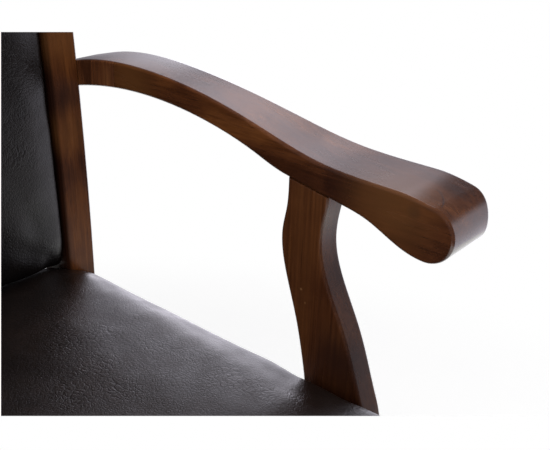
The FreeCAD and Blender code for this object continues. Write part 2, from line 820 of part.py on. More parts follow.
def build():
    """Every named piece of the chair."""
    post = rear_post()
    leg = front_leg()
    rail = side_rail()
    arm, arm_block = arm_pieces()
    support = arm_support()
    front = front_rail()
    rear = rear_rail()
    front_block = front_corner_block()
    rear_block = rear_corner_block()
    crest = crest_rail()
    lower = lower_back_rail()
    cover, foam, board, dust, seat_form = seat_pieces()
    back_cover, back_foam, back_board, rear_panel = back_pieces(seat_form)

    dowels, dowel_holes = rail_dowels()
    back_pins, back_holes = back_dowels()
    head_pins, head_holes = support_joint_dowels()
    bolts, inserts, bolt_holes, insert_holes = support_fastenings()
    arm_screws, plugs, arm_holes, post_holes = arm_fastenings()
    block_pins, block_holes = block_screws()
    seat_pins, seat_holes = seat_screws()
    back_pins_screwed, back_screw_holes = back_screws()
    pads, pad_holes = glides()

    frame_holes = dowel_holes + block_holes
    post = cut_all(post, dowel_holes + back_holes + post_holes + pad_holes)
    leg = cut_all(leg, dowel_holes + pad_holes)
    rail = cut_all(rail, frame_holes + bolt_holes)
    front = cut_all(front, both(frame_holes))
    rear = cut_all(rear, both(frame_holes))
    front_block = cut_all(front_block, block_holes + seat_holes)
    rear_block = cut_all(rear_block, block_holes + seat_holes)
    crest = cut_all(crest, both(back_holes + back_screw_holes))
    lower = cut_all(lower, both(back_holes + back_screw_holes))
    arm = cut_all(arm, arm_holes + head_holes)
    arm_block = cut_all(arm_block, arm_holes)
    support = cut_all(support, head_holes + insert_holes)
    board = cut_all(board, both(seat_holes))
    cover = cut_all(cover, both(seat_holes))
    dust = cut_all(dust, both(seat_holes))
    back_board = cut_all(back_board, both(back_screw_holes))

    pieces = {}
    sided = {"rear_post": post, "front_leg": leg, "side_rail": rail, "arm": arm, "arm_block": arm_block,
             "arm_support": support, "front_corner_block": front_block, "rear_corner_block": rear_block}
    for name, shape in sided.items():
        pieces[name + "_left"] = shape
        pieces[name + "_right"] = mirrored(shape)
    pieces.update({"front_rail": front, "rear_rail": rear, "crest_rail": crest, "lower_back_rail": lower,
                   "seat_cover": cover, "seat_foam": foam, "seat_board": board, "seat_dust_cover": dust,
                   "back_cover": back_cover, "back_foam": back_foam, "back_board": back_board,
                   "back_rear_panel": rear_panel})
    groups = {"rail_dowels": dowels, "back_dowels": back_pins, "support_dowels": head_pins,
              "support_bolts": bolts, "support_inserts": inserts, "arm_screws": arm_screws,
              "arm_plugs": plugs, "corner_block_screws": block_pins, "seat_screws": seat_pins,
              "back_board_screws": back_pins_screwed, "leg_glides": pads}
    for name, shapes in groups.items():
        pieces[name] = Part.makeCompound(both(shapes))
    return pieces


def main():
    """Centre the chair over the origin and write one file per piece."""
    pieces = build()
    whole = Part.makeCompound(list(pieces.values())).optimalBoundingBox(True, False)
    shift = V(-(whole.XMin + whole.XMax) / 2.0, -(whole.YMin + whole.YMax) / 2.0, -whole.ZMin)
    os.makedirs("parts", exist_ok=True)
    for name, shape in pieces.items():
        shape.translate(shift)
        shape.exportStep(os.path.join("parts", name + ".step"))
        solids = len(shape.Solids)
        print(f"{name}: {solids} solids, volume {shape.Volume / 1000.0:.1f} cm3, valid {shape.isValid()}")
    print(f"moved by {shift.y:.3f} along Y; size {whole.XLength:.1f} x {whole.YLength:.1f} x {whole.ZLength:.1f}")


main()
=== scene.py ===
"""Looks of a wooden armchair with a leather seat and back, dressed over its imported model.

Lengths are in metres. The chair faces -Y and the sitter's left is +X.
"""
import logging
import math
from dataclasses import dataclass
from enum import Enum

import bmesh
import bpy
import numpy as np
from mathutils import Matrix, Vector, noise


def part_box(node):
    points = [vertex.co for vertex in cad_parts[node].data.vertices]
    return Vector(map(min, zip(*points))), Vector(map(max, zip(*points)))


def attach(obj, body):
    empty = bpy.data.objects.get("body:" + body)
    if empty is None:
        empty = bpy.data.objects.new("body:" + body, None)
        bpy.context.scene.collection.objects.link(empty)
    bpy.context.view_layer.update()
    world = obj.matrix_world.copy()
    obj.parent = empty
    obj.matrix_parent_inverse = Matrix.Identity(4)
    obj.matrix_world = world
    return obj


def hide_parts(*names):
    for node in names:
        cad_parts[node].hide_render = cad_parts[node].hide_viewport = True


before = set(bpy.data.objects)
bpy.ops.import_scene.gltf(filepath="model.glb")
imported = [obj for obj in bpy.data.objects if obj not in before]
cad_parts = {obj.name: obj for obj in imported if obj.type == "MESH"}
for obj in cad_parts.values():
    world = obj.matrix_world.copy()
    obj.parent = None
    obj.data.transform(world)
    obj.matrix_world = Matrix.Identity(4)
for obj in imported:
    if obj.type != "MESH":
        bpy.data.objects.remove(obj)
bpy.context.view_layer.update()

log = logging.getLogger("armchair")
Colour = tuple[float, float, float]
Point = tuple[float, float, float]
Feed = bpy.types.NodeSocket | float | tuple | str  # what an input takes: an output to join, or a value
TOUCH = 1e-6  # points this close are one point
FINE_STRETCH = 0.12  # how much longer the fine streaks of wood are than its figure


# Node trees

class Bench:
    """A node tree with short ways to add and join nodes."""

    def __init__(self, tree: bpy.types.NodeTree) -> None:
        """Work on a tree."""
        self.tree = tree

    def add(self, kind: str, sockets: dict | None = None, **settings: object) -> bpy.types.Node:
        """Add a node.

        Args:
            kind: The node's type.
            sockets: Input names or places, each with a value or an output to join.
            settings: The node's own options.

        Returns:
            The new node.
        """
        node = self.tree.nodes.new(kind)
        for option, value in settings.items():
            setattr(node, option, value)
        for key, value in (sockets or {}).items():
            if isinstance(value, bpy.types.NodeSocket):
                self.tree.links.new(value, node.inputs[key])
            else:
                node.inputs[key].default_value = value
        return node

    def math(self, operation: str, first: Feed, second: Feed = 0.0, clamp: bool = False) -> bpy.types.NodeSocket:
        """Join two numbers with an operation."""
        kind = "ShaderNodeMath"
        return self.add(kind, {0: first, 1: second}, operation=operation, use_clamp=clamp).outputs[0]


class Surface(Bench):
    """A material's tree, with the patterns that the finishes share."""

    def __init__(self, name: str) -> None:
        """Start a material of that name.

        Args:
            name: The material's name.
        """
        self.material = bpy.data.materials.new(name)
        self.material.use_nodes = True
        super().__init__(self.material.node_tree)
        self.shader = self.tree.nodes["Principled BSDF"]
        self.place = self.add("ShaderNodeTexCoord").outputs["Object"]

    def scaled(self, scale: Point, shift: Point = (0.0, 0.0, 0.0)) -> bpy.types.NodeSocket:
        """Object coordinates, stretched and moved."""
        return self.add("ShaderNodeMapping", {"Vector": self.place, "Scale": scale, "Location": shift}).outputs[0]

    def distance(self, place: Point) -> bpy.types.NodeSocket:
        """How far the surface is from a place."""
        return self.add("ShaderNodeVectorMath", {0: self.place, 1: place}, operation="DISTANCE").outputs[1]

    def cloud(self, at: Feed, scale: float, detail: float = 3.0, roughness: float = 0.5,
              distortion: float = 0.0, kind: str = "FBM") -> bpy.types.NodeSocket:
        """A noise from 0 to 1."""
        sockets = {"Vector": at, "Scale": scale, "Detail": detail, "Roughness": roughness, "Distortion": distortion}
        return self.add("ShaderNodeTexNoise", sockets, noise_type=kind).outputs[0]

    def cells(self, at: Feed, scale: float, feature: str = "F1") -> bpy.types.NodeSocket:
        """Distances in a cell pattern."""
        return self.add("ShaderNodeTexVoronoi", {"Vector": at, "Scale": scale}, feature=feature).outputs["Distance"]

    def between(self, value: Feed, low: float, high: float, start: float = 0.0,
                end: float = 1.0) -> bpy.types.NodeSocket:
        """Carry a value smoothly from one range to another."""
        return self.add("ShaderNodeMapRange", {0: value, 1: low, 2: high, 3: start, 4: end},
                        interpolation_type="SMOOTHSTEP").outputs[0]

    def ramp(self, value: Feed, stops: list[tuple[float, Colour]]) -> bpy.types.NodeSocket:
        """Turn a value into a colour.

        Args:
            value: What is turned into a colour.
            stops: Places from 0 to 1, each with its colour.

        Returns:
            The colour.
        """
        node = self.add("ShaderNodeValToRGB", {0: value})
        bar = node.color_ramp.elements
        while len(bar) < len(stops):
            bar.new(1.0)
        for element, (at, colour) in zip(bar, stops):
            element.position = at
            element.color = (*colour, 1.0)
        return node.outputs[0]

    def mix(self, share: Feed, first: Feed, second: Feed, blend: str = "MIX") -> bpy.types.NodeSocket:
        """Mix two colours.

        Args:
            share: How much of the second colour is used.
            first: The colour below.
            second: The colour over it.
            blend: Blender's name for the way they mix.

        Returns:
            The mixed colour.
        """
        sockets = {0: share}
        for place, colour in ((6, first), (7, second)):
            sockets[place] = colour if isinstance(colour, bpy.types.NodeSocket) else (*colour, 1.0)
        return self.add("ShaderNodeMix", sockets, data_type="RGBA", blend_type=blend).outputs[2]

    def bump(self, height: Feed, strength: float, depth: float,
             below: bpy.types.NodeSocket | None = None) -> bpy.types.NodeSocket:
        """Raise the surface by a height.

        Args:
            height: The pattern that is raised.
            strength: How much of it shows.
            depth: Its full height.
            below: A normal that it is added to.

        Returns:
            The normal.
        """
        node = self.add("ShaderNodeBump", {"Height": height, "Strength": strength, "Distance": depth})
        if below is not None:
            self.tree.links.new(below, node.inputs["Normal"])
        return node.outputs[0]

    def finish(self, colour: bpy.types.NodeSocket, roughness: Feed, normal: bpy.types.NodeSocket,
               **constants: float) -> bpy.types.Material:
        """Join the results to the shader.

        Args:
            colour: Colour output.
            roughness: Roughness output or number.
            normal: Normal output.
            constants: Other inputs of the shader, with underscores for spaces.

        Returns:
            The finished material.
        """
        self.tree.links.new(colour, self.shader.inputs["Base Color"])
        self.tree.links.new(normal, self.shader.inputs["Normal"])
        if isinstance(roughness, bpy.types.NodeSocket):
            self.tree.links.new(roughness, self.shader.inputs["Roughness"])
        else:
            self.shader.inputs["Roughness"].default_value = roughness
        for key, value in constants.items():
            self.shader.inputs[key.replace("_", " ")].default_value = value
        return self.material


# Finishes

class Run(Enum):
    """Which way a piece's grain runs, as stretches of the pattern along X, Y and Z."""

    ACROSS = (0.16, 1.0, 1.0)
    FORWARD = (1.0, 0.16, 1.0)
    UPRIGHT = (1.0, 1.0, 0.16)


class MarkKind(Enum):
    """Small marks of the wood, each with its colour; the dark knot colour also serves as painted shade."""

    HOLE = (0.012, 0.006, 0.005)
    CHIP = (0.020, 0.009, 0.006)
    # dark knots, and also painted shade, such as the contact shadow at the foot of the left support
    KNOT_AND_SHADE = (0.016, 0.007, 0.006)
    SPECK = (0.230, 0.110, 0.045)
    GLOW = (0.200, 0.078, 0.022)


@dataclass(frozen=True)
class Mark:
    """A small mark at a place on a piece."""

    kind: MarkKind
    place: Point
    radius: float
    soft: float = 0.5
    strength: float = 1.0


@dataclass(frozen=True)
class Crack:
    """A fine curved crack, an arc of a circle round a centre."""

    centre: Point
    radius: float
    middle: Point
    half_length: float
    width: float


@dataclass(frozen=True)
class StainedWood:
    """Dark stained hardwood under semi-gloss lacquer."""

    name: str
    run: Run
    shift: Point = (0.0, 0.0, 0.0)
    dark: Colour = (0.038, 0.0112, 0.0050)
    middle: Colour = (0.096, 0.0305, 0.0108)
    light: Colour = (0.178, 0.0610, 0.0175)
    figure: float = 26.0
    gloss: float = 0.27
    shine: float = 0.5
    coat: float = 0.0
    ease: float = 0.0
    # shaded: the distance from the middle in X inside which faces get painted shade; 0 for none
    shaded: float = 0.0
    marks: tuple[Mark, ...] = ()
    crack: Crack | None = None

    def build(self) -> bpy.types.Material:
        """Make the material.

        Returns:
            The material.
        """
        wood = Surface(self.name)
        stretch = self.run.value
        along = wood.scaled(stretch, self.shift)
        fine = wood.scaled(tuple(FINE_STRETCH * s if s < 1.0 else 1.0 for s in stretch), self.shift)
        figure = wood.cloud(along, self.figure, 5.0, 0.58, 0.7)
        even = wood.scaled((1.0, 1.0, 1.0), self.shift)
        curl = wood.cloud(even, 34.0, 3.0, 0.5, 0.3)
        blotch = wood.cloud(even, 9.0, 2.0, 0.5)
        value = wood.math("ADD", figure, wood.math("MULTIPLY", wood.math("SUBTRACT", curl, 0.5), 0.30))
        value = wood.math("ADD", value, wood.math("MULTIPLY", wood.math("SUBTRACT", blotch, 0.5), 0.75))
        colour = wood.ramp(value, [(0.30, self.dark), (0.52, self.middle), (0.74, self.light)])
        streak = wood.cloud(fine, 420.0, 3.0, 0.6)
        colour = wood.mix(1.0, colour, wood.ramp(streak, [(0.30, (0.62, 0.56, 0.52)), (0.66, (1.12, 1.10, 1.06))]),
                          "MULTIPLY")
        pores = wood.cloud(fine, 1150.0, 2.0, 0.5)
        pore = wood.between(pores, 0.62, 0.74)
        colour = wood.mix(wood.math("MULTIPLY", pore, 0.6), colour, (0.012, 0.005, 0.003))
        # painted shade: faces nearer the middle in X than about shaded (the posts' inner faces beside the back cushion,
        # and a thin strip of the front face next to them) are painted near black and lose their specular level
        if self.shaded > 0.0:
            across = wood.math("ABSOLUTE", wood.add("ShaderNodeSeparateXYZ", {0: wood.place}).outputs[0])
            inner = wood.between(across, self.shaded + 0.0005, self.shaded + 0.0055, 0.9, 0.0)
            colour = wood.mix(inner, colour, (0.010, 0.004, 0.003))
            wood.tree.links.new(wood.math("MULTIPLY", wood.math("SUBTRACT", 1.0, inner), self.shine),
                                wood.shader.inputs["Specular IOR Level"])
        recess = wood.math("MULTIPLY", pore, 0.35)
        for mark in self.marks:
            edge = mark.radius * mark.soft
            share = wood.between(wood.distance(mark.place), mark.radius - edge, mark.radius + edge, mark.strength, 0.0)
            colour = wood.mix(share, colour, mark.kind.value)
            if mark.kind in (MarkKind.HOLE, MarkKind.CHIP):
                recess = wood.math("ADD", recess, wood.math("MULTIPLY", share, 2.0))
        if self.crack:
            line = self.crack
            off = wood.math("ABSOLUTE", wood.math("SUBTRACT", wood.distance(line.centre), line.radius))
            thin = wood.between(off, 0.0, line.width, 1.0, 0.0)
            reach = wood.between(wood.distance(line.middle), line.half_length * 0.6, line.half_length, 1.0, 0.0)
            share = wood.math("MULTIPLY", thin, reach)
            colour = wood.mix(wood.math("MULTIPLY", share, 0.85), colour, (0.018, 0.007, 0.006))
            recess = wood.math("ADD", recess, wood.math("MULTIPLY", share, 1.6))
        roughness = wood.between(wood.cloud(along, 60.0, 3.0), 0.3, 0.7, self.gloss - 0.03, self.gloss + 0.05)
        below = None
        if self.ease > 0.0:
            below = wood.add("ShaderNodeBevel", {"Radius": self.ease}, samples=4).outputs[0]
        ripple = wood.bump(wood.cloud(along, 110.0, 2.0), 0.06, 0.0006, below)
        normal = wood.bump(wood.math("SUBTRACT", streak, recess), 0.14, 0.00022, ripple)
        return wood.finish(colour, roughness, normal, Specular_IOR_Level=self.shine,
                           Coat_Weight=self.coat, Coat_Roughness=0.12)


@dataclass(frozen=True)
class RawWood:
    """Unfinished hardwood of the parts that nobody sees."""

    name: str
    run: Run
    pale: Colour = (0.62, 0.45, 0.27)
    brown: Colour = (0.40, 0.25, 0.13)
    figure: float = 60.0

    def build(self) -> bpy.types.Material:
        """Make the material.

        Returns:
            The material.
        """
        wood = Surface(self.name)
        along = wood.scaled(self.run.value)
        fine = wood.scaled(tuple(FINE_STRETCH * s if s < 1.0 else 1.0 for s in self.run.value))
        bands = wood.cloud(along, self.figure, 4.0, 0.55, 1.2)
        colour = wood.ramp(bands, [(0.30, self.brown), (0.62, self.pale)])
        streak = wood.cloud(fine, 600.0, 3.0, 0.6)
        colour = wood.mix(1.0, colour, wood.ramp(streak, [(0.3, (0.80, 0.76, 0.70)), (0.65, (1.05, 1.04, 1.02))]),
                          "MULTIPLY")
        normal = wood.bump(streak, 0.35, 0.0003)
        roughness = wood.between(streak, 0.3, 0.7, 0.62, 0.78)
        return wood.finish(colour, roughness, normal, Specular_IOR_Level=0.3)


@dataclass(frozen=True)
class Plywood:
    """Raw plywood, its plies showing along the edge."""

    name: str
    layers: Point
    ply: float = 0.0015

    def build(self) -> bpy.types.Material:
        """Make the material.

        Returns:
            The material.
        """
        wood = Surface(self.name)
        face = wood.scaled((0.14, 1.0, 1.0))
        bands = wood.cloud(face, 50.0, 4.0, 0.55, 1.6)
        colour = wood.ramp(bands, [(0.32, (0.44, 0.29, 0.16)), (0.64, (0.66, 0.49, 0.31))])
        depth = wood.add("ShaderNodeVectorMath", {0: wood.place, 1: self.layers}, operation="DOT_PRODUCT").outputs[1]
        turn = wood.math("SINE", wood.math("MULTIPLY", depth, math.pi / self.ply))
        plies = wood.between(turn, -0.35, 0.35)
        colour = wood.mix(wood.math("MULTIPLY", plies, 0.32), colour, (0.25, 0.15, 0.08))
        streak = wood.cloud(wood.scaled((0.05, 1.0, 1.0)), 500.0, 3.0, 0.6)
        normal = wood.bump(wood.math("ADD", streak, wood.math("MULTIPLY", plies, 0.3)), 0.3, 0.0003)
        return wood.finish(colour, wood.between(streak, 0.3, 0.7, 0.64, 0.8), normal, Specular_IOR_Level=0.3)


@dataclass(frozen=True)
class Leather:
    """Dark brown coated leather with a fine grain and soft creases, the crease lines darkened as painted shade."""

    name: str
    deep: Colour = (0.0075, 0.0052, 0.0047)
    warm: Colour = (0.0165, 0.0100, 0.0080)
    gloss: float = 0.36
    coat: float = 0.0
    shine: float = 0.7
    worn_places: tuple[Point, ...] = ()
    worn_reach: float = 0.030

    def build(self) -> bpy.types.Material:
        """Make the material.

        Returns:
            The material.
        """
        hide = Surface(self.name)
        patch = hide.cloud(hide.place, 11.0, 3.0, 0.55)
        worn = hide.cloud(hide.place, 45.0, 4.0, 0.6)
        warp = hide.add("ShaderNodeTexNoise", {"Vector": hide.place, "Scale": 38.0, "Detail": 3.0}).outputs["Color"]
        bent = hide.add("ShaderNodeVectorMath", {0: warp, 3: 0.016}, operation="SCALE").outputs[0]
        bent = hide.add("ShaderNodeVectorMath", {0: hide.place, 1: bent}, operation="ADD").outputs[0]
        nets = hide.cells(bent, 165.0, "DISTANCE_TO_EDGE")
        wrinkle = hide.between(nets, 0.0, 0.16)
        small = hide.between(hide.cells(bent, 330.0, "DISTANCE_TO_EDGE"), 0.0, 0.22)
        pebble = hide.cells(hide.place, 1250.0)
        drawn = hide.between(hide.cloud(hide.place, 15.0, 2.0), 0.42, 0.66, 0.10, 0.7)
        for place in self.worn_places:
            near = hide.between(hide.distance(place), self.worn_reach * 0.3, self.worn_reach, 1.0, 0.0)
            drawn = hide.math("MAXIMUM", drawn, near)
        colour = hide.ramp(hide.math("ADD", hide.math("MULTIPLY", patch, 0.6), hide.math("MULTIPLY", worn, 0.4)),
                           [(0.34, self.deep), (0.66, self.warm)])
        # painted shade: the crease lines are darkened towards near black
        crease_shade = hide.math("MULTIPLY", hide.math("SUBTRACT", 1.0, wrinkle), 0.35)
        colour = hide.mix(crease_shade, colour, (0.004, 0.003, 0.003))
        large = hide.math("MULTIPLY", wrinkle, drawn)
        relief = hide.math("ADD", hide.math("MULTIPLY", large, 0.55), hide.math("MULTIPLY", small, 0.35))
        relief = hide.math("SUBTRACT", relief, hide.math("MULTIPLY", pebble, 0.22))
        soft = hide.bump(hide.cloud(hide.place, 30.0, 3.0, 0.5), 0.16, 0.0035)
        normal = hide.bump(relief, 0.45, 0.0006, soft)
        roughness = hide.between(worn, 0.3, 0.7, self.gloss - 0.03, self.gloss + 0.09)
        return hide.finish(colour, roughness, normal, Specular_IOR_Level=self.shine, Coat_Weight=self.coat,
                           Coat_Roughness=0.30)


@dataclass(frozen=True)
class Foam:
    """Open-cell upholstery foam."""

    name: str
    colour: Colour = (0.80, 0.74, 0.55)

    def build(self) -> bpy.types.Material:
        """Make the material.

        Returns:
            The material.
        """
        foam = Surface(self.name)
        cell = foam.cells(foam.place, 700.0)
        shade = foam.cloud(foam.place, 20.0, 3.0)
        dull = tuple(0.72 * part for part in self.colour)
        colour = foam.mix(foam.between(cell, 0.1, 0.5), self.colour, dull)
        colour = foam.mix(foam.math("MULTIPLY", shade, 0.4), colour, (0.70, 0.60, 0.38))
        return foam.finish(colour, foam.between(shade, 0.3, 0.7, 0.85, 0.95), foam.bump(cell, 0.7, 0.0008),
                           Specular_IOR_Level=0.2)


@dataclass(frozen=True)
class NonWoven:
    """Black spun cloth with its pressed dots."""

    name: str
    dots: float = 0.0022

    def build(self) -> bpy.types.Material:
        """Make the material.

        Returns:
            The material.
        """
        cloth = Surface(self.name)
        step = 2.0 * math.pi / self.dots
        parts = cloth.add("ShaderNodeSeparateXYZ", {0: cloth.place}).outputs
        sum_ = cloth.math("ADD", parts[0], parts[1])
        gap = cloth.math("SUBTRACT", parts[0], parts[1])
        wave = cloth.math("MULTIPLY", cloth.math("SINE", cloth.math("MULTIPLY", sum_, step / 1.414)),
                          cloth.math("SINE", cloth.math("MULTIPLY", gap, step / 1.414)))
        dot = cloth.between(wave, 0.35, 0.75)
        fibre = cloth.cloud(cloth.place, 900.0, 4.0, 0.7, 2.0)
        colour = cloth.ramp(fibre, [(0.3, (0.010, 0.010, 0.011)), (0.7, (0.042, 0.042, 0.045))])
        colour = cloth.mix(cloth.math("MULTIPLY", dot, 0.5), colour, (0.008, 0.008, 0.009))
        height = cloth.math("SUBTRACT", cloth.math("MULTIPLY", fibre, 0.5), dot)
        return cloth.finish(colour, cloth.between(fibre, 0.3, 0.7, 0.80, 0.95), cloth.bump(height, 0.5, 0.0002),
                            Specular_IOR_Level=0.25, Sheen_Weight=0.2)


@dataclass(frozen=True)
class Nylon:
    """Moulded nylon of the glides, scuffed underneath."""

    name: str

    def build(self) -> bpy.types.Material:
        """Make the material.

        Returns:
            The material.
        """
        nylon = Surface(self.name)
        scuff = nylon.cloud(nylon.scaled((1.0, 0.2, 1.0)), 900.0, 3.0, 0.6)
        colour = nylon.ramp(scuff, [(0.35, (0.030, 0.024, 0.021)), (0.7, (0.070, 0.058, 0.050))])
        return nylon.finish(colour, nylon.between(scuff, 0.3, 0.7, 0.42, 0.62), nylon.bump(scuff, 0.25, 0.0002))


@dataclass(frozen=True)
class Metal:
    """Turned or plated metal of the fastenings."""

    name: str
    bright: Colour
    dull: Colour
    roughness: float

    def build(self) -> bpy.types.Material:
        """Make the material.

        Returns:
            The material.
        """
        metal = Surface(self.name)
        grey = metal.cloud(metal.place, 260.0, 4.0, 0.6)
        turn = metal.cloud(metal.scaled((1.0, 1.0, 6.0)), 900.0, 2.0)
        colour = metal.ramp(grey, [(0.32, self.dull), (0.68, self.bright)])
        roughness = metal.between(turn, 0.3, 0.7, self.roughness - 0.06, self.roughness + 0.10)
        return metal.finish(colour, roughness, metal.bump(turn, 0.12, 0.0001), Metallic=1.0)


# Meshes

def new_object(name: str, mesh: bpy.types.Mesh, material: bpy.types.Material | None = None) -> bpy.types.Object:
    """Put a mesh in the scene as an object at the origin.

    Args:
        name: The object's name.
        mesh: Its mesh.
        material: Its finish, where it gets one.

    Returns:
        The object.
    """
    thing = bpy.data.objects.new(name, mesh)
    bpy.context.scene.collection.objects.link(thing)
    if material:
        mesh.materials.clear()
        mesh.materials.append(material)
    return thing


def mesh_from(name: str, work: bmesh.types.BMesh) -> bpy.types.Mesh:
    """End the work on a mesh and name it.

    Args:
        name: The mesh's name.
        work: The work, which is freed.

    Returns:
        The mesh.
    """
    mesh = bpy.data.meshes.new(name)
    work.to_mesh(mesh)
    work.free()
    return mesh


def put_in(piece: bpy.types.Object, node: str) -> None:
    """Let a piece stand for a CAD node.

    Args:
        piece: The piece of the scene.
        node: The CAD node that it stands for.
    """
    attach(piece, "root")
    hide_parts(node)


def islands(work: bmesh.types.BMesh) -> list[list[bmesh.types.BMVert]]:
    """The vertices of each separate body of a mesh.

    Args:
        work: The mesh.

    Returns:
        A list of vertices for each body.
    """
    left = set(work.verts)
    found = []
    while left:
        reach = [left.pop()]
        island = list(reach)
        while reach:
            for edge in reach.pop().link_edges:
                for vertex in edge.verts:
                    if vertex in left:
                        left.remove(vertex)
                        reach.append(vertex)
                        island.append(vertex)
        found.append(island)
    return found


def sliced(work: bmesh.types.BMesh, axes: tuple[int, ...], low: Point, high: Point, step: float) -> None:
    """Cut a mesh across some axes, about every step.

    Args:
        work: The mesh, changed in place.
        axes: The axes across which it is cut.
        low: The lower corner of its box.
        high: The upper corner of its box.
        step: About how far apart the cuts are.
    """
    for axis in axes:
        count = round((high[axis] - low[axis]) / step)
        normal = [0.0, 0.0, 0.0]
        normal[axis] = 1.0
        for index in range(1, count):
            at = [0.0, 0.0, 0.0]
            at[axis] = low[axis] + (high[axis] - low[axis]) * index / count
            whole = work.verts[:] + work.edges[:] + work.faces[:]
            bmesh.ops.bisect_plane(work, geom=whole, plane_co=at, plane_no=normal, dist=TOUCH)


def solid_mesh(name: str, nodes: list[str]) -> bpy.types.Mesh:
    """A mesh of CAD nodes with their loose triangles joined.

    Args:
        name: The new mesh's name.
        nodes: The CAD nodes.

    Returns:
        The mesh.
    """
    work = bmesh.new()
    for node in nodes:
        work.from_mesh(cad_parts[node].data)
    bmesh.ops.remove_doubles(work, verts=work.verts, dist=TOUCH)
    return mesh_from(name, work)


def baked(thing: bpy.types.Object) -> bpy.types.Mesh:
    """Apply an object's modifiers to its mesh and clear them.

    Args:
        thing: The object, changed in place.

    Returns:
        Its new mesh.
    """
    evaluated = thing.evaluated_get(bpy.context.evaluated_depsgraph_get())
    mesh = bpy.data.meshes.new_from_object(evaluated)
    thing.modifiers.clear()
    thing.data = mesh
    return mesh


def points_of(mesh: bpy.types.Mesh) -> np.ndarray:
    """A mesh's vertices as rows.

    Args:
        mesh: The mesh.

    Returns:
        One row for each vertex.
    """
    rows = np.zeros(len(mesh.vertices) * 3)
    mesh.vertices.foreach_get("co", rows)
    return rows.reshape(-1, 3)


def normals_of(mesh: bpy.types.Mesh) -> np.ndarray:
    """A mesh's vertex normals as rows.

    Args:
        mesh: The mesh.

    Returns:
        One row for each vertex.
    """
    rows = np.zeros(len(mesh.vertices) * 3)
    mesh.vertices.foreach_get("normal", rows)
    return rows.reshape(-1, 3)


def set_points(mesh: bpy.types.Mesh, rows: np.ndarray) -> None:
    """Move a mesh's vertices."""
    mesh.vertices.foreach_set("co", rows.ravel())
    mesh.update()


def smooth_shade(mesh: bpy.types.Mesh) -> None:
    """Shade every face smoothly."""
    mesh.polygons.foreach_set("use_smooth", [True] * len(mesh.polygons))


def wander(rows: np.ndarray, size: float, seed: float) -> np.ndarray:
    """A smooth noise from about -1 to 1 at each row, with waves of a size."""
    shift = Vector((seed, 2.0 * seed, -seed))
    return np.array([noise.noise(Vector(row) / size + shift) for row in rows])


def remeshed(name: str, nodes: list[str], voxel: float) -> bpy.types.Object:
    """One closed body round CAD nodes, in even faces.

    Args:
        name: The new object's name.
        nodes: The CAD nodes.
        voxel: The size of its faces.

    Returns:
        The body.
    """
    body = new_object(name, solid_mesh(name, nodes))
    fill = body.modifiers.new("fill", "REMESH")
    fill.mode = "VOXEL"
    fill.voxel_size = voxel
    baked(body)
    work = bmesh.new()
    work.from_mesh(body.data)
    keep = set(max(islands(work), key=len))
    bmesh.ops.delete(work, geom=[v for v in work.verts if v not in keep], context="VERTS")
    work.to_mesh(body.data)
    work.free()
    return body


@dataclass(frozen=True)
class Crease:
    """A line where the leather is drawn in or pushed up."""

    start: Point
    end: Point
    width: float
    depth: float


def creased(rows: np.ndarray, normals: np.ndarray, creases: list[Crease]) -> np.ndarray:
    """Draw creases into a surface.

    Args:
        rows: The surface's points.
        normals: Its normals.
        creases: The lines; a negative depth is a ridge.

    Returns:
        The moved points.
    """
    moved = rows.copy()
    for crease in creases:
        start = np.array(crease.start)
        run = np.array(crease.end) - start
        share = np.clip((rows - start) @ run / (run @ run), 0.0, 1.0)
        away = np.linalg.norm(rows - start - share[:, None] * run, axis=1)
        fade = np.sin(np.pi * np.clip(0.06 + 0.88 * share, 0.0, 1.0)) ** 0.7
        moved -= normals * (crease.depth * fade * np.exp(-(away / crease.width) ** 2))[:, None]
    return moved


# Upholstery

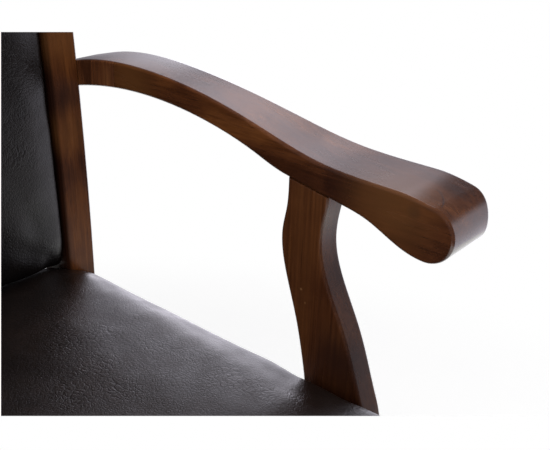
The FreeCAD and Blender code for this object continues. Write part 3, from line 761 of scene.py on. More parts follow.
@dataclass
class Cushion:
    """A leather-covered pad, blown up as cloth over its foam.

    The pad starts a little smaller than its solid and swells until it reaches its cap.
    """

    name: str
    nodes: tuple[str, ...]
    cover: str
    foam: str
    voxel: float = 0.0055
    rounds: int = 10
    shrink: float = 0.002
    cap: float = 0.0045
    dip: float = 0.0005
    slip: float = 0.002
    calm: int = 8
    mass: float = 0.25
    stretch: float = 12.0
    bend: float = 0.4
    pressure: float = 4.0
    frames: int = 20
    leather: float = 0.0016
    foam_voxel: float = 0.008
    foam_inset: float = 0.007

    def held(self, rows: np.ndarray) -> np.ndarray:
        """How firmly each point is held, from 0 to 1."""
        raise NotImplementedError

    def drawn(self, rows: np.ndarray, normals: np.ndarray) -> np.ndarray:
        """Creases and hollows that come after the swelling."""
        raise NotImplementedError

    def opened(self, body: bpy.types.Object) -> None:
        """Cut the opening of the cover, if it has one."""

    def plumped(self, rows: np.ndarray) -> np.ndarray:
        """The form at rest, before the cloth runs."""
        return rows

    def bounded(self, rows: np.ndarray, rest: np.ndarray) -> np.ndarray:
        """The form, kept clear of the wood beside it."""
        return rows

    def relax(self, body: bpy.types.Object, rounds: int) -> None:
        """Smooth the free part of the body.

        Args:
            body: The body, changed in place.
            rounds: How often it is smoothed.
        """
        body.vertex_groups.clear()
        free = body.vertex_groups.new(name="free")
        for index, share in enumerate(1.0 - self.held(points_of(body.data))):
            free.add([index], float(share), "REPLACE")
        relax = body.modifiers.new("relax", "SMOOTH")
        relax.iterations = rounds
        relax.factor = 0.5
        relax.vertex_group = "free"
        baked(body)
        body.vertex_groups.clear()

    def swell(self, body: bpy.types.Object) -> None:
        """Run the cloth, and keep each point near its place at rest.

        Args:
            body: The closed body, changed in place.
        """
        mesh = body.data
        rest = points_of(mesh)
        free = 1.0 - self.held(rest)
        outward = normals_of(mesh)
        start = rest - outward * (self.shrink * free)[:, None]
        set_points(mesh, start)
        group = body.vertex_groups.new(name="held")
        for index in np.nonzero(free < 0.98)[0]:
            group.add([int(index)], float(1.0 - free[index]), "REPLACE")
        cloth = body.modifiers.new("cloth", "CLOTH")
        cloth.settings.quality = 5
        cloth.settings.mass = self.mass
        cloth.settings.tension_stiffness = self.stretch
        cloth.settings.compression_stiffness = self.stretch
        cloth.settings.bending_stiffness = self.bend
        cloth.settings.use_pressure = True
        cloth.settings.uniform_pressure_force = self.pressure
        cloth.settings.vertex_group_mass = "held"
        cloth.settings.effector_weights.gravity = 0.0
        cloth.point_cache.frame_start = 1
        cloth.point_cache.frame_end = self.frames
        for step in range(1, self.frames + 1):
            bpy.context.scene.frame_set(step)
        baked(body)
        bpy.context.scene.frame_set(1)
        push = points_of(body.data) - start
        rise = np.sum(push * outward, axis=1)
        slide = push - rise[:, None] * outward
        reach = np.linalg.norm(slide, axis=1)
        slide *= np.minimum(1.0, self.slip / np.maximum(reach, 1e-9))[:, None]
        kept = np.where(rise > 0.0, self.cap * np.tanh(rise / self.cap), np.maximum(rise, -self.dip))
        set_points(body.data, start + (kept[:, None] * outward + slide) * free[:, None])
        self.relax(body, self.calm)
        log.info("%s rose %.1f mm on average", self.name, 1000.0 * float(np.mean(kept)))

    def build(self, leather: bpy.types.Material, foam: bpy.types.Material) -> list[bpy.types.Object]:
        """Make the cover and the foam under it.

        Args:
            leather: The cover's material.
            foam: The foam's material.

        Returns:
            The two pieces.
        """
        body = remeshed(self.name + "_leather", list(self.nodes), self.voxel)
        rest = points_of(body.data)
        self.relax(body, self.rounds)
        set_points(body.data, self.bounded(self.plumped(points_of(body.data)), rest))
        self.swell(body)
        body.vertex_groups.clear()
        set_points(body.data, self.drawn(points_of(body.data), normals_of(body.data)))
        set_points(body.data, self.bounded(points_of(body.data), rest))
        self.opened(body)
        finer = body.modifiers.new("finer", "SUBSURF")
        finer.levels = 1
        finer.render_levels = 1
        baked(body)
        smooth_shade(body.data)
        body.data.materials.clear()
        body.data.materials.append(leather)
        put_in(body, self.cover)
        core = remeshed(self.name + "_foam_pad", [self.foam], self.foam_voxel)
        inner = points_of(core.data) - normals_of(core.data) * self.foam_inset
        set_points(core.data, inner + normals_of(core.data) * (0.0006 * wander(inner, 0.012, 3.0))[:, None])
        smooth_shade(core.data)
        core.data.materials.clear()
        core.data.materials.append(foam)
        put_in(core, self.foam)
        return [body, core]


@dataclass
class SeatCushion(Cushion):
    """The seat, drawn over its board and squeezed by the arm supports."""

    bottom: float = 0.398
    opening: tuple[float, float] = (0.204, -0.225)
    support_front: float = -0.157
    support_rear: float = -0.092
    support_inner: float = 0.2462
    widest: float = 0.2700
    post_front: float = 0.172
    wrap: float = 0.0019

    def bounded(self, rows: np.ndarray, rest: np.ndarray) -> np.ndarray:
        """Clear of the arm supports, of the posts and of the rails below.

        Args:
            rows: The surface's points.
            rest: The same points before any change.

        Returns:
            The points, kept clear.
        """
        rows = rows.copy()
        beside = (rows[:, 1] > self.support_front - 0.003) & (rows[:, 1] < self.support_rear + 0.003)
        beside &= rows[:, 2] > self.bottom
        most = np.where(beside, self.support_inner, self.widest)
        rows[:, 0] = np.clip(rows[:, 0], -most, most)
        at_post = rows[:, 1] > self.post_front
        rows[at_post, :2] = rest[at_post, :2]
        rows[:, 2] = np.maximum(rows[:, 2], self.bottom)
        return rows

    def held(self, rows: np.ndarray) -> np.ndarray:
        """The wrap below and the edge at the posts stay where they are.

        Args:
            rows: The surface's points.

        Returns:
            How firmly each is held, from 0 to 1.
        """
        low = np.clip((self.bottom + 0.014 - rows[:, 2]) / 0.012, 0.0, 1.0)
        rear = np.clip((rows[:, 1] - 0.196) / 0.014, 0.0, 1.0)
        return np.maximum(low, rear)

    def drawn(self, rows: np.ndarray, normals: np.ndarray) -> np.ndarray:
        """Squeeze at the supports, pleats at the corners, and a little unevenness.

        Args:
            rows: The surface's points.
            normals: Its normals.

        Returns:
            The moved points.
        """
        low = np.clip((self.bottom + 0.016 - rows[:, 2]) / 0.010, 0.0, 1.0)
        rows = rows + normals * (self.wrap * low)[:, None]
        top = np.clip((rows[:, 2] - self.bottom - 0.02) / 0.03, 0.0, 1.0)
        uneven = 0.0011 * wander(rows, 0.085, 1.0) + 0.0004 * wander(rows, 0.028, 5.0)
        rows = rows + normals * (top * uneven)[:, None]
        creases = []
        for side in (-1.0, 1.0):
            front, rear = self.support_front, self.support_rear
            creases += [
                Crease((side * 0.246, rear + 0.006, 0.452), (side * 0.244, rear + 0.040, 0.452), 0.011, -0.0034),
                Crease((side * 0.247, rear - 0.004, 0.455), (side * 0.205, rear - 0.022, 0.466), 0.007, 0.0016),
                Crease((side * 0.250, rear - 0.010, 0.450), (side * 0.253, front + 0.006, 0.446), 0.012, 0.0022),
                Crease((side * 0.252, front - 0.006, 0.452), (side * 0.250, front - 0.050, 0.452), 0.014, -0.0036),
                Crease((side * 0.249, front + 0.002, 0.455), (side * 0.214, front + 0.010, 0.466), 0.007, 0.0014),
                Crease((side * 0.196, 0.176, 0.462), (side * 0.150, 0.120, 0.470), 0.008, 0.0012),
                Crease((side * 0.214, 0.176, 0.456), (side * 0.196, 0.095, 0.466), 0.008, 0.0014)]
            for step in range(3):
                turn = math.radians(28.0 + 17.0 * step)
                x = side * (0.2245 + 0.034 * math.sin(turn))
                y = -0.2345 - 0.034 * math.cos(turn)
                creases.append(Crease((x, y, 0.402), (x * 0.985, y * 0.985, 0.452), 0.0045, 0.0022))
        return creased(rows, normals, creases)

    def opened(self, body: bpy.types.Object) -> None:
        """Open the underside inside the wrap, and give the leather its thickness.

        Args:
            body: The cover, changed in place.
        """
        half, front = self.opening
        work = bmesh.new()
        work.from_mesh(body.data)
        work.normal_update()
        gone = []
        for face in work.faces:
            middle = face.calc_center_median()
            inside = abs(middle.x) < half - 0.06 * (middle.y - front) and front < middle.y < 0.176
            if middle.z < self.bottom + 0.004 and face.normal.z < -0.6 and inside:
                gone.append(face)
        bmesh.ops.delete(work, geom=gone, context="FACES")
        work.to_mesh(body.data)
        work.free()
        hide = body.modifiers.new("hide", "SOLIDIFY")
        hide.thickness = self.leather
        hide.offset = -1.0
        baked(body)


@dataclass
class BackCushion(Cushion):
    """The back pad between the posts, rolled at its sides."""

    proud: float = 0.0100
    wider: float = 0.0028
    roll: tuple[float, float] = (0.158, 0.038)
    room: float = 0.1977
    spread: float = 0.0034
    post_foot: tuple[float, float] = (0.17904, 0.445)
    post_sweep: float = 3.290
    ends: tuple[float, float] = (0.449, 0.877)

    def plumped(self, rows: np.ndarray) -> np.ndarray:
        """Fuller in front and at the sides, as leather over foam is.

        Args:
            rows: The surface's points.

        Returns:
            The moved points.
        """
        free = 1.0 - self.held(rows)
        low = np.clip((rows[:, 2] - self.ends[0]) / 0.024, 0.0, 1.0)
        high = np.clip((self.ends[1] - rows[:, 2]) / 0.035, 0.0, 1.0)
        share = free * np.sin(0.5 * np.pi * low) * np.sin(0.5 * np.pi * high)
        rows = rows.copy()
        over = np.clip((np.abs(rows[:, 0]) - self.roll[0]) / self.roll[1], 0.0, 1.0)
        upward = np.clip((rows[:, 2] - 0.50) / 0.25, 0.0, 1.0)
        rows[:, 1] -= self.proud * share * (1.0 - (0.30 + 0.35 * upward) * over ** 2) * (1.0 - 0.25 * upward)
        side = np.clip((np.abs(rows[:, 0]) - 0.172) / 0.018, 0.0, 1.0)
        rows[:, 0] += np.sign(rows[:, 0]) * self.wider * side * share
        return rows

    def bounded(self, rows: np.ndarray, rest: np.ndarray) -> np.ndarray:
        """Clear of the posts at its sides.

        Args:
            rows: The surface's points.
            rest: The same points before any change.

        Returns:
            The points, kept clear.
        """
        rows = rows.copy()
        rows[:, 0] = np.clip(rows[:, 0], -self.room, self.room)
        return rows

    def lean(self, rows: np.ndarray) -> np.ndarray:
        """Y of the posts' front face at each point's height."""
        height = rows[:, 2] - self.post_foot[1]
        return self.post_foot[0] + self.post_sweep - np.sqrt(self.post_sweep ** 2 - height ** 2)

    def held(self, rows: np.ndarray) -> np.ndarray:
        """The edge behind the roll stays where it is.

        Args:
            rows: The surface's points.

        Returns:
            How firmly each is held, from 0 to 1.
        """
        behind = np.clip((rows[:, 1] - self.lean(rows) - 0.008) / 0.006, 0.0, 1.0)
        low = np.clip((0.488 - rows[:, 2]) / 0.020, 0.0, 1.0)
        outer = np.clip((np.abs(rows[:, 0]) - 0.165) / 0.012, 0.0, 1.0)
        return np.maximum(behind, low * outer)

    def drawn(self, rows: np.ndarray, normals: np.ndarray) -> np.ndarray:
        """A little unevenness, and the leather drawn to the corners.

        Args:
            rows: The surface's points.
            normals: Its normals.

        Returns:
            The moved points.
        """
        free = 1.0 - self.held(rows)
        uneven = 0.0007 * wander(rows, 0.12, 8.0) + 0.0002 * wander(rows, 0.03, 2.0)
        rows = rows + normals * (free * uneven)[:, None]
        creases = []
        for side in (-1.0, 1.0):
            creases += [
                Crease((side * 0.184, 0.176, 0.476), (side * 0.146, 0.168, 0.500), 0.007, 0.0008),
                Crease((side * 0.188, 0.205, 0.872), (side * 0.145, 0.192, 0.835), 0.008, 0.0014)]
        rows = creased(rows, normals, creases)
        side = np.clip((np.abs(rows[:, 0]) - 0.180) / 0.010, 0.0, 1.0)
        rows[:, 0] += np.sign(rows[:, 0]) * self.spread * side
        rows[:, 2] -= 0.6 * self.spread * side * np.clip((0.474 - rows[:, 2]) / 0.010, 0.0, 1.0)
        return rows


@dataclass
class OutsideBack:
    """The leather-covered panel behind the back."""

    crown: float = 0.0014
    step: float = 0.014
    edge: float = 0.0013
    uneven: float = 0.0003

    def build(self, leather: bpy.types.Material) -> bpy.types.Object:
        """Make the panel from its solid, softly crowned.

        Args:
            leather: The panel's material.

        Returns:
            The panel.
        """
        low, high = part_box("back_rear_panel")
        work = bmesh.new()
        work.from_mesh(solid_mesh("panel_start", ["back_rear_panel"]))
        sliced(work, (0, 2), low, high, self.step)
        panel = new_object("outside_back", mesh_from("outside_back", work), leather)
        bevel = panel.modifiers.new("edge", "BEVEL")
        bevel.width = self.edge
        bevel.segments = 3
        bevel.limit_method = "ANGLE"
        bevel.angle_limit = math.radians(40.0)
        baked(panel)
        rows = points_of(panel.data)
        middle = (np.array(low) + np.array(high)) / 2.0
        half = (np.array(high) - np.array(low)) / 2.0
        away = np.clip(np.abs((rows - middle) / half), 0.0, 1.0)
        rise = self.crown * np.clip((1.0 - away[:, 0] ** 4) * (1.0 - away[:, 2] ** 4), 0.0, 1.0)
        rise = rise + self.uneven * wander(rows, 0.05, 4.0) * (rise > 0.0004)
        set_points(panel.data, rows + normals_of(panel.data) * rise[:, None])
        smooth_shade(panel.data)
        put_in(panel, "back_rear_panel")
        return panel


# Repeated pieces

class Recipe(Bench):
    """A Geometry Nodes tree with named inputs."""

    def __init__(self, name: str, inputs: dict[str, float]) -> None:
        """Start a tree.

        Args:
            name: The tree's name.
            inputs: Sizes, each with its value in metres or its count.
        """
        super().__init__(bpy.data.node_groups.new(name, "GeometryNodeTree"))
        face = self.tree.interface
        face.new_socket("Geometry", in_out="INPUT", socket_type="NodeSocketGeometry")
        for key, value in inputs.items():
            kind = "NodeSocketInt" if isinstance(value, int) else "NodeSocketFloat"
            face.new_socket(key, in_out="INPUT", socket_type=kind).default_value = value
        face.new_socket("Material", in_out="INPUT", socket_type="NodeSocketMaterial")
        face.new_socket("Geometry", in_out="OUTPUT", socket_type="NodeSocketGeometry")
        self.given = self.add("NodeGroupInput").outputs

    def moved(self, shape: bpy.types.NodeSocket, **by: Feed) -> bpy.types.NodeSocket:
        """Move, turn or scale a shape."""
        sockets = {"Geometry": shape, **{key.title(): value for key, value in by.items()}}
        return self.add("GeometryNodeTransform", sockets).outputs[0]

    def joined(self, *shapes: bpy.types.NodeSocket) -> bpy.types.NodeSocket:
        """Put shapes together.

        Args:
            shapes: The shapes.

        Returns:
            All of them as one shape.
        """
        node = self.add("GeometryNodeJoinGeometry")
        for shape in shapes:
            self.tree.links.new(shape, node.inputs[0])
        return node.outputs[0]

    def along_z(self, height: Feed) -> bpy.types.NodeSocket:
        """A vector straight up."""
        return self.add("ShaderNodeCombineXYZ", {2: height}).outputs[0]

    def close(self, shape: bpy.types.NodeSocket, on_points: bool = True) -> bpy.types.NodeTree:
        """Put the shape on each point, turned along its aim, and end the tree.

        Args:
            shape: The shape to repeat.
            on_points: False where the shape is already in place.

        Returns:
            The tree.
        """
        if on_points:
            aim = self.add("GeometryNodeInputNamedAttribute", {"Name": "aim"}, data_type="FLOAT_VECTOR").outputs[0]
            turn = self.add("FunctionNodeAlignRotationToVector", {"Vector": aim}, axis="Z").outputs[0]
            shape = self.add("GeometryNodeInstanceOnPoints", {"Points": self.given["Geometry"], "Instance": shape,
                                                             "Rotation": turn}).outputs[0]
        shape = self.add("GeometryNodeRealizeInstances", {0: shape}).outputs[0]
        shape = self.add("GeometryNodeSetMaterial", {"Geometry": shape, "Material": self.given["Material"]}).outputs[0]
        self.add("NodeGroupOutput", {0: shape})
        return self.tree


def grown(name: str, start: bpy.types.Mesh, tree: bpy.types.NodeTree, material: bpy.types.Material,
          sizes: dict[str, float] | None = None) -> bpy.types.Object:
    """Run a tree on a mesh and keep the result as a plain mesh.

    Args:
        name: The new piece's name.
        start: Points or lines that the tree works on.
        tree: The tree.
        material: The piece's material.
        sizes: Inputs that differ from the tree's own values.

    Returns:
        The piece.
    """
    piece = new_object(name, start)
    modifier = piece.modifiers.new(name, "NODES")
    modifier.node_group = tree
    for item in tree.interface.items_tree:
        if item.in_out != "INPUT":
            continue
        if item.name == "Material":
            modifier[item.identifier] = material
        elif sizes and item.name in sizes:
            modifier[item.identifier] = sizes[item.name]
    mesh = baked(piece)
    mesh.materials.clear()
    mesh.materials.append(material)
    return piece


@dataclass(frozen=True)
class Rod:
    """One long solid of a node: where its thick end is and which way it points."""

    head: Vector
    aim: Vector
    length: float


def rods_of(node: str) -> list[Rod]:
    """The separate long solids of a CAD node.

    Args:
        node: The CAD node.

    Returns:
        A rod for each solid.
    """
    work = bmesh.new()
    work.from_mesh(solid_mesh(node + "_rods", [node]))
    found = []
    for island in islands(work):
        cloud = np.array([vertex.co[:] for vertex in island])
        lows, highs = cloud.min(0), cloud.max(0)
        middle = (lows + highs) / 2.0
        axis = np.linalg.svd(cloud - middle, full_matrices=False)[2][0]
        along = (cloud - middle) @ axis
        middle = middle + axis * (along.max() + along.min()) / 2.0
        along = (cloud - middle) @ axis
        across = np.linalg.norm(cloud - middle - along[:, None] * axis, axis=1)
        half = along.max()
        if across[along > 0.8 * half].max() < across[along < -0.8 * half].max():
            axis = -axis
        found.append(Rod(Vector(middle + axis * half), Vector(-axis), 2.0 * half))
    work.free()
    return found


def aimed_points(name: str, rods: list[Rod]) -> bpy.types.Mesh:
    """Points at the rods' heads, each with its aim.

    Args:
        name: The mesh's name.
        rods: The rods.

    Returns:
        The points.
    """
    mesh = bpy.data.meshes.new(name)
    mesh.from_pydata([rod.head[:] for rod in rods], [], [])
    aim = mesh.attributes.new("aim", "FLOAT_VECTOR", "POINT")
    aim.data.foreach_set("vector", [part for rod in rods for part in rod.aim])
    return mesh


class Recess(Enum):
    """The driver's recess in a head."""

    CROSS = "cross"
    HEX = "hex"


def threaded_recipe(name: str, recess: Recess, sizes: dict[str, float]) -> bpy.types.NodeTree:
    """A screw or bolt, its head's face at the point and its shank along the aim.

    Args:
        name: The tree's name.
        recess: The driver's recess in the head.
        sizes: The tree's inputs, each with its value.

    Returns:
        The tree.
    """
    recipe = Recipe(name, sizes)
    given = recipe.given
    shank, head, tall = given["Shank Radius"], given["Head Radius"], given["Head Height"]
    length, pitch = given["Length"], given["Pitch"]
    cap = recipe.add("GeometryNodeMeshCylinder", {"Vertices": 40, "Radius": head, "Depth": tall, "Side Segments": 2})
    cap = recipe.moved(cap.outputs[0], translation=recipe.along_z(recipe.math("MULTIPLY", tall, 0.5)))
    if recess is Recess.CROSS:
        arm = recipe.math("MULTIPLY", head, 1.1)
        thin = recipe.math("MULTIPLY", head, 0.26)
        size = recipe.add("ShaderNodeCombineXYZ", {0: arm, 1: thin, 2: tall}).outputs[0]
        blade = recipe.add("GeometryNodeMeshCube", {"Size": size}).outputs[0]
        tool = recipe.joined(blade, recipe.moved(blade, rotation=(0.0, 0.0, math.pi / 2.0)))
    else:
        tool = recipe.add("GeometryNodeMeshCylinder", {"Vertices": 6, "Radius": recipe.math("MULTIPLY", head, 0.5),
                                                      "Depth": recipe.math("MULTIPLY", tall, 1.4)}).outputs[0]
    cut = recipe.add("GeometryNodeMeshBoolean", operation="DIFFERENCE")
    recipe.tree.links.new(cap, cut.inputs[0])
    recipe.tree.links.new(tool, cut.inputs[1])
    tip = recipe.math("MULTIPLY", shank, 2.0)
    run = recipe.math("SUBTRACT", recipe.math("SUBTRACT", length, tall), tip)
    bar = recipe.add("GeometryNodeMeshCylinder", {"Vertices": 20, "Radius": recipe.math("MULTIPLY", shank, 0.82),
                                                 "Depth": run}).outputs[0]
    middle = recipe.math("ADD", tall, recipe.math("MULTIPLY", run, 0.5))
    bar = recipe.moved(bar, translation=recipe.along_z(middle))
    point = recipe.add("GeometryNodeMeshCone", {"Vertices": 20, "Radius Top": recipe.math("MULTIPLY", shank, 0.15),
                                               "Radius Bottom": recipe.math("MULTIPLY", shank, 0.82),
                                               "Depth": tip}).outputs[0]
    point = recipe.moved(point, translation=recipe.along_z(recipe.math("ADD", tall, run)))
    turns = recipe.math("DIVIDE", run, pitch)
    spiral = recipe.add("GeometryNodeCurveSpiral", {"Resolution": 14, "Rotations": turns, "Start Radius": shank,
                                                   "End Radius": shank, "Height": run})
    depth = recipe.math("MULTIPLY", pitch, 0.30)
    ring = recipe.add("GeometryNodeCurvePrimitiveCircle", {"Resolution": 4, "Radius": depth})
    lower = recipe.add("GeometryNodeSetPosition", {"Geometry": spiral.outputs[0],
                                                  "Offset": recipe.along_z(tall)}).outputs[0]
    thread = recipe.add("GeometryNodeCurveToMesh", {0: lower, 1: ring.outputs[0], "Fill Caps": True}).outputs[0]
    return recipe.close(recipe.joined(cut.outputs[0], bar, point, thread))


def dowel_recipe() -> bpy.types.NodeTree:
    """A fluted dowel with eased ends, starting at the point.

    Returns:
        The tree.
    """
    recipe = Recipe("fluted_dowel", {"Radius": 0.005, "Length": 0.04, "Flutes": 18, "Ease": 0.001})
    given = recipe.given
    star = recipe.add("GeometryNodeCurveStar", {"Points": given["Flutes"], "Inner Radius": recipe.math(
        "MULTIPLY", given["Radius"], 0.93), "Outer Radius": given["Radius"]}).outputs[0]
    run = recipe.math("SUBTRACT", given["Length"], recipe.math("MULTIPLY", given["Ease"], 2.0))
    disc = recipe.add("GeometryNodeFillCurve", {0: star}, mode="NGONS").outputs[0]
    body = recipe.add("GeometryNodeExtrudeMesh", {"Mesh": disc, "Offset Scale": run, "Offset": (0.0, 0.0, 1.0)})
    small = recipe.math("MULTIPLY", given["Radius"], 0.80)
    ends = []
    for upper in (False, True):
        lower_radius, upper_radius = (given["Radius"], small) if upper else (small, given["Radius"])
        shrunk = [recipe.math("MULTIPLY", part, 0.95) for part in (lower_radius, upper_radius)]
        end = recipe.add("GeometryNodeMeshCone", {"Vertices": 24, "Radius Top": shrunk[1], "Radius Bottom": shrunk[0],
                                                  "Depth": given["Ease"]}).outputs[0]
        place = recipe.math("ADD", run, given["Ease"]) if upper else 0.0
        ends.append(recipe.moved(end, translation=recipe.along_z(place)))
    shaft = recipe.moved(body.outputs[0], translation=recipe.along_z(given["Ease"]))
    base = recipe.moved(disc, translation=recipe.along_z(given["Ease"]), scale=(1.0, 1.0, -1.0))
    return recipe.close(recipe.joined(shaft, base, *ends))


def staple_recipe() -> bpy.types.NodeTree:
    """Staples set along a line on the underside.

    Returns:
        The tree.
    """
    recipe = Recipe("staple_line", {"Spacing": 0.030, "Crown": 0.010, "Wire": 0.0006, "Leg": 0.0022})
    given = recipe.given
    path = recipe.add("GeometryNodeMeshToCurve", {0: given["Geometry"]}).outputs[0]
    even = recipe.add("GeometryNodeResampleCurve", {0: path}, mode="LENGTH")
    recipe.tree.links.new(given["Spacing"], even.inputs["Length"])
    tangent = recipe.add("GeometryNodeInputTangent").outputs[0]
    turn = recipe.add("FunctionNodeAlignRotationToVector", {"Vector": tangent}, axis="X").outputs[0]
    crown, wire, leg = given["Crown"], given["Wire"], given["Leg"]
    top = recipe.add("GeometryNodeMeshCube", {"Size": recipe.add(
        "ShaderNodeCombineXYZ", {0: crown, 1: recipe.math("MULTIPLY", wire, 1.8), 2: wire}).outputs[0]}).outputs[0]
    parts = [top]
    for side in (-0.5, 0.5):
        post = recipe.add("GeometryNodeMeshCube", {"Size": recipe.add(
            "ShaderNodeCombineXYZ", {0: wire, 1: recipe.math("MULTIPLY", wire, 1.8), 2: leg}).outputs[0]}).outputs[0]
        across = recipe.math("MULTIPLY", recipe.math("SUBTRACT", crown, wire), side)
        where = recipe.add("ShaderNodeCombineXYZ", {0: across, 2: recipe.math("MULTIPLY", leg, 0.5)}).outputs[0]
        parts.append(recipe.moved(post, translation=where))
    staples = recipe.add("GeometryNodeInstanceOnPoints", {"Points": even.outputs[0], "Instance": recipe.joined(*parts),
                                                          "Rotation": turn}).outputs[0]
    return recipe.close(staples, on_points=False)


@dataclass
class Fastenings:
    """Screws, bolts and dowels in place of their plain solids."""

    def screws(self, steel: bpy.types.Material) -> list[bpy.types.Object]:
        """Make the wood screws, the arm screws and the bolts.

        Args:
            steel: Their material.

        Returns:
            One piece for each kind.
        """
        wood = {"Shank Radius": 0.0019, "Head Radius": 0.004, "Head Height": 0.003, "Length": 0.034, "Pitch": 0.0018}
        cross = threaded_recipe("cross_head_screw", Recess.CROSS, wood)
        bolt = threaded_recipe("socket_bolt", Recess.HEX, {
            "Shank Radius": 0.0029, "Head Radius": 0.006, "Head Height": 0.004, "Length": 0.041, "Pitch": 0.0012})
        made = []
        for node, tree, sizes in (("corner_block_screws", cross, {}), ("seat_screws", cross, {}),
                                  ("back_board_screws", cross, {}), ("support_bolts", bolt, {}),
                                  ("arm_screws", cross, {"Shank Radius": 0.0024, "Head Radius": 0.0045,
                                                         "Head Height": 0.004, "Pitch": 0.0022})):
            rods = rods_of(node)
            piece = grown(node + "_threaded", aimed_points(node + "_places", rods), tree, steel,
                          {**sizes, "Length": rods[0].length})
            put_in(piece, node)
            made.append(piece)
        return made

    def dowels(self, wood: bpy.types.Material) -> list[bpy.types.Object]:
        """Make the fluted dowels.

        Args:
            wood: Their material.

        Returns:
            One piece for each size.
        """
        tree = dowel_recipe()
        made = []
        for node, radius in (("rail_dowels", 0.005), ("back_dowels", 0.005), ("support_dowels", 0.004)):
            rods = rods_of(node)
            piece = grown(node + "_fluted", aimed_points(node + "_places", rods), tree, wood,
                          {"Radius": radius, "Length": rods[0].length})
            put_in(piece, node)
            made.append(piece)
        return made


@dataclass
class DustCover:
    """The black cloth under the seat, and the staples that hold it."""

    step: float = 0.012
    thickness: float = 0.0004
    sag: float = 0.0035
    sag_reach: float = 0.16
    staple_inset: float = 0.006

    def outline(self) -> list[Vector]:
        """The cloth's edge, in order, at its lower face.

        Returns:
            The edge's points.
        """
        mesh = solid_mesh("dust_outline", ["seat_dust_cover"])
        work = bmesh.new()
        work.from_mesh(mesh)
        low = min(vertex.co.z for vertex in work.verts)
        rim = [e for e in work.edges if e.calc_length() > 1e-5 and all(v.co.z < low + 1e-5 for v in e.verts)
               and len(e.link_faces) == 2 and abs(e.link_faces[0].normal.z - e.link_faces[1].normal.z) > 0.5]
        loops = []
        left = set(rim)
        while left:
            edge = left.pop()
            loop = [edge.verts[0], edge.verts[1]]
            while loop[-1] is not loop[0]:
                onward = next((e for e in loop[-1].link_edges if e in left), None)
                if onward is None:
                    break
                left.remove(onward)
                loop.append(onward.other_vert(loop[-1]))
            loops.append([vertex.co.copy() for vertex in loop[:-1]])
        work.free()
        return max(loops, key=lambda points: max(p.x for p in points) - min(p.x for p in points))

    def build(self, cloth: bpy.types.Material, steel: bpy.types.Material) -> list[bpy.types.Object]:
        """Make the cloth and its staples.

        Args:
            cloth: The cloth's material.
            steel: The staples' material.

        Returns:
            The two pieces.
        """
        edge = self.outline()
        work = bmesh.new()
        work.faces.new([work.verts.new(point) for point in edge])
        lows = [min(point[axis] for point in edge) for axis in (0, 1)]
        highs = [max(point[axis] for point in edge) for axis in (0, 1)]
        sliced(work, (0, 1), lows, highs, self.step)
        bmesh.ops.recalc_face_normals(work, faces=work.faces)
        area = sum(face.calc_area() for face in work.faces)
        mesh = mesh_from("dust_cover", work)
        rows = points_of(mesh)
        ends = np.array([point[:] for point in edge])
        gap = np.full(len(rows), 1.0)
        for first, second in zip(ends, np.roll(ends, -1, axis=0)):
            run = second - first
            share = np.clip((rows - first) @ run / max(run @ run, 1e-12), 0.0, 1.0)
            gap = np.minimum(gap, np.linalg.norm(rows - first - share[:, None] * run, axis=1))
        hang = np.clip(gap / self.sag_reach, 0.0, 1.0) ** 1.4
        rows[:, 2] -= self.sag * hang * (1.0 + 0.2 * wander(rows, 0.07, 6.0))
        set_points(mesh, rows)
        sheet = new_object("dust_cover", mesh, cloth)
        hide = sheet.modifiers.new("cloth", "SOLIDIFY")
        hide.thickness = self.thickness
        hide.offset = 0.0
        baked(sheet)
        smooth_shade(sheet.data)
        put_in(sheet, "seat_dust_cover")
        inward = []
        middle = sum(edge, Vector()) / len(edge)
        for point in edge:
            inset = (middle - point).normalized() * self.staple_inset
            inward.append(point + inset - Vector((0.0, 0.0, self.thickness)))
        line = bpy.data.meshes.new("staple_line")
        count = len(inward)
        line.from_pydata([point[:] for point in inward], [(i, (i + 1) % count) for i in range(count)], [])
        staples = grown("dust_cover_staples", line, staple_recipe(), steel)
        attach(staples, "root")
        return [sheet, staples]


# Woodwork

